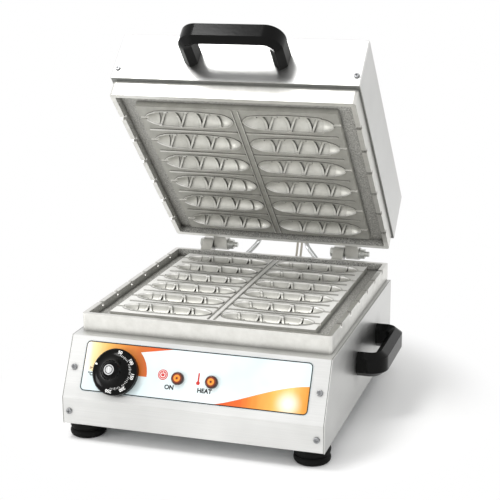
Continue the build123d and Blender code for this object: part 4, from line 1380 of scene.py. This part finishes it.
amber_lens, shader = start_finish("amber_lens", roughness=0.12, ior=1.5)
place = add_node(amber_lens, "TexCoord")
face = add_node(
    amber_lens,
    "Mapping",
    {"Location": face_origin, "Rotation": (face_tilt, 0, 0)},
    {"Vector": place.outputs["Object"]},
    vector_type="TEXTURE",
)
at = add_node(amber_lens, "SeparateXYZ", links={"Vector": face.outputs[0]})
sideways = at.outputs["X"]
for shift in (lamp_middle, lamp_half_apart):
    moved = add_node(amber_lens, "Math", {1: shift}, {0: sideways}, operation="SUBTRACT")
    mirrored = add_node(amber_lens, "Math", links={0: moved.outputs[0]}, operation="ABSOLUTE")
    sideways = mirrored.outputs[0]
upward = add_node(amber_lens, "Math", {1: lamp_along}, {0: at.outputs["Y"]}, operation="SUBTRACT")
spread = add_node(amber_lens, "CombineXYZ", links={"X": sideways, "Y": upward.outputs[0]})
away = add_node(amber_lens, "VectorMath", links={0: spread.outputs[0]}, operation="LENGTH")
share = add_node(amber_lens, "Math", {1: lamp_radius}, {0: away.outputs["Value"]}, operation="DIVIDE")
ramp = add_node(amber_lens, "ValToRGB", links={"Fac": share.outputs[0]})
set_stops(ramp, lens_tones)
feed(amber_lens, shader, base_color=ramp.outputs["Color"])
dress(amber_lens, "lamp_lenses")


# Floor, light and camera of the studio: white paper, and soft boxes above, in front and low at the left.
# The world is a plain white room, and the camera and polished metal see it at full white.
# Away from the machine the paper fades to that white for the camera alone, so no horizon shows.

floor_reach = 6
fade_from = 0.25
fade_to = 0.355
paper_low = "#FAFAF9"
paper_high = "#FFFFFF"
paper_mottle = 400
pure_white = (1, 1, 1, 1)
room_light = 0.8

floor_mesh = bpy.data.meshes.new("studio_floor")
floor_form = bmesh.new()
bmesh.ops.create_grid(floor_form, x_segments=2, y_segments=2, size=floor_reach)
floor_form.to_mesh(floor_mesh)
floor_form.free()
floor = bpy.data.objects.new("studio_floor", floor_mesh)
bpy.context.scene.collection.objects.link(floor)
matt_paper, shader = start_finish("matt_paper", roughness=0.9, specular_ior_level=0.1)
place = add_node(matt_paper, "TexCoord")
fibre = add_node(
    matt_paper,
    "TexNoise",
    {"Scale": per_metre(paper_mottle), "Detail": 2.0},
    {"Vector": place.outputs["Object"]},
)
tone = add_node(
    matt_paper,
    "Mix",
    {6: linear(paper_low), 7: linear(paper_high)},
    {0: fibre.outputs["Fac"]},
    data_type="RGBA",
)
feed(matt_paper, shader, base_color=tone.outputs[2])
away = add_node(matt_paper, "VectorMath", links={0: place.outputs["Object"]}, operation="LENGTH")
far = add_node(
    matt_paper,
    "MapRange",
    {"From Min": fade_from, "From Max": fade_to},
    {"Value": away.outputs["Value"]},
    interpolation_type="SMOOTHSTEP",
)
path = add_node(matt_paper, "LightPath")
seen_far = add_node(
    matt_paper,
    "Math",
    links={0: far.outputs[0], 1: path.outputs["Is Camera Ray"]},
    operation="MULTIPLY",
)
paper_white = add_node(matt_paper, "Emission", {"Color": pure_white, "Strength": 1.0})
sweep = add_node(
    matt_paper,
    "MixShader",
    links={0: seen_far.outputs[0], 1: shader.outputs[0], 2: paper_white.outputs[0]},
)
matt_paper.node_tree.links.new(
    sweep.outputs[0], matt_paper.node_tree.nodes["Material Output"].inputs["Surface"]
)
floor_mesh.materials.append(matt_paper)

world = bpy.data.worlds.new("studio")
bpy.context.scene.world = world
world.use_nodes = True
room = world.node_tree.nodes["Background"]
room.inputs["Strength"].default_value = room_light
room.inputs["Color"].default_value = pure_white
seen = add_node(world, "Background", {"Color": pure_white, "Strength": 1.0})
path = add_node(world, "LightPath")
mirror = add_node(
    world,
    "Math",
    links={0: path.outputs["Is Glossy Ray"], 1: path.outputs["Is Transmission Ray"]},
    operation="MAXIMUM",
)
either = add_node(
    world,
    "Math",
    links={0: path.outputs["Is Camera Ray"], 1: mirror.outputs[0]},
    operation="MAXIMUM",
)
blend = add_node(
    world,
    "MixShader",
    links={0: either.outputs[0], 1: room.outputs[0], 2: seen.outputs[0]},
)
world.node_tree.links.new(blend.outputs[0], world.node_tree.nodes["World Output"].inputs["Surface"])


def soft_box(name, place, target, size, power):
    """Square soft box that points at a target."""
    lamp = bpy.data.lights.new(name, "AREA")
    lamp.size = size
    lamp.energy = power
    box = bpy.data.objects.new(name, lamp)
    bpy.context.scene.collection.objects.link(box)
    box.location = place
    box.rotation_euler = (Vector(target) - Vector(place)).to_track_quat("-Z", "Y").to_euler()


middle = (0, 0, 0.2)
soft_box("key_box", (-0.8, -0.65, 2.4), middle, 0.8, 26)
soft_box("front_box", (0.9, -2.2, 1.4), middle, 1.2, 6)
soft_box("left_box", (-1.7, -1.5, 0.35), middle, 0.6, 12)

camera_data = bpy.data.cameras.new("camera")
camera = bpy.data.objects.new("camera", camera_data)
bpy.context.scene.collection.objects.link(camera)
yaw, pitch, roll = math.radians(17.574), math.radians(15.014), math.radians(-0.401)
camera_distance = 1.65786
off_centre = (0.023992, 0.062274)
away = Vector((math.sin(yaw) * math.cos(pitch), -math.cos(yaw) * math.cos(pitch), math.sin(pitch)))
level = Vector((math.cos(yaw), math.sin(yaw), 0))
upright = away.cross(level)
right = math.cos(roll) * level + math.sin(roll) * upright
up = math.cos(roll) * upright - math.sin(roll) * level
aim = Vector((0, -0.062607, 0.152))
spot = aim + away * camera_distance + right * off_centre[0] + up * off_centre[1]
camera.matrix_world = Matrix.Translation(spot) @ Matrix((right, up, away)).transposed().to_4x4()
camera_data.sensor_width = 36
camera_data.lens = 90.276
camera_data.clip_start = 0.05
camera_data.clip_end = 30
bpy.context.scene.camera = camera

bpy.context.scene.view_settings.view_transform = "Standard"
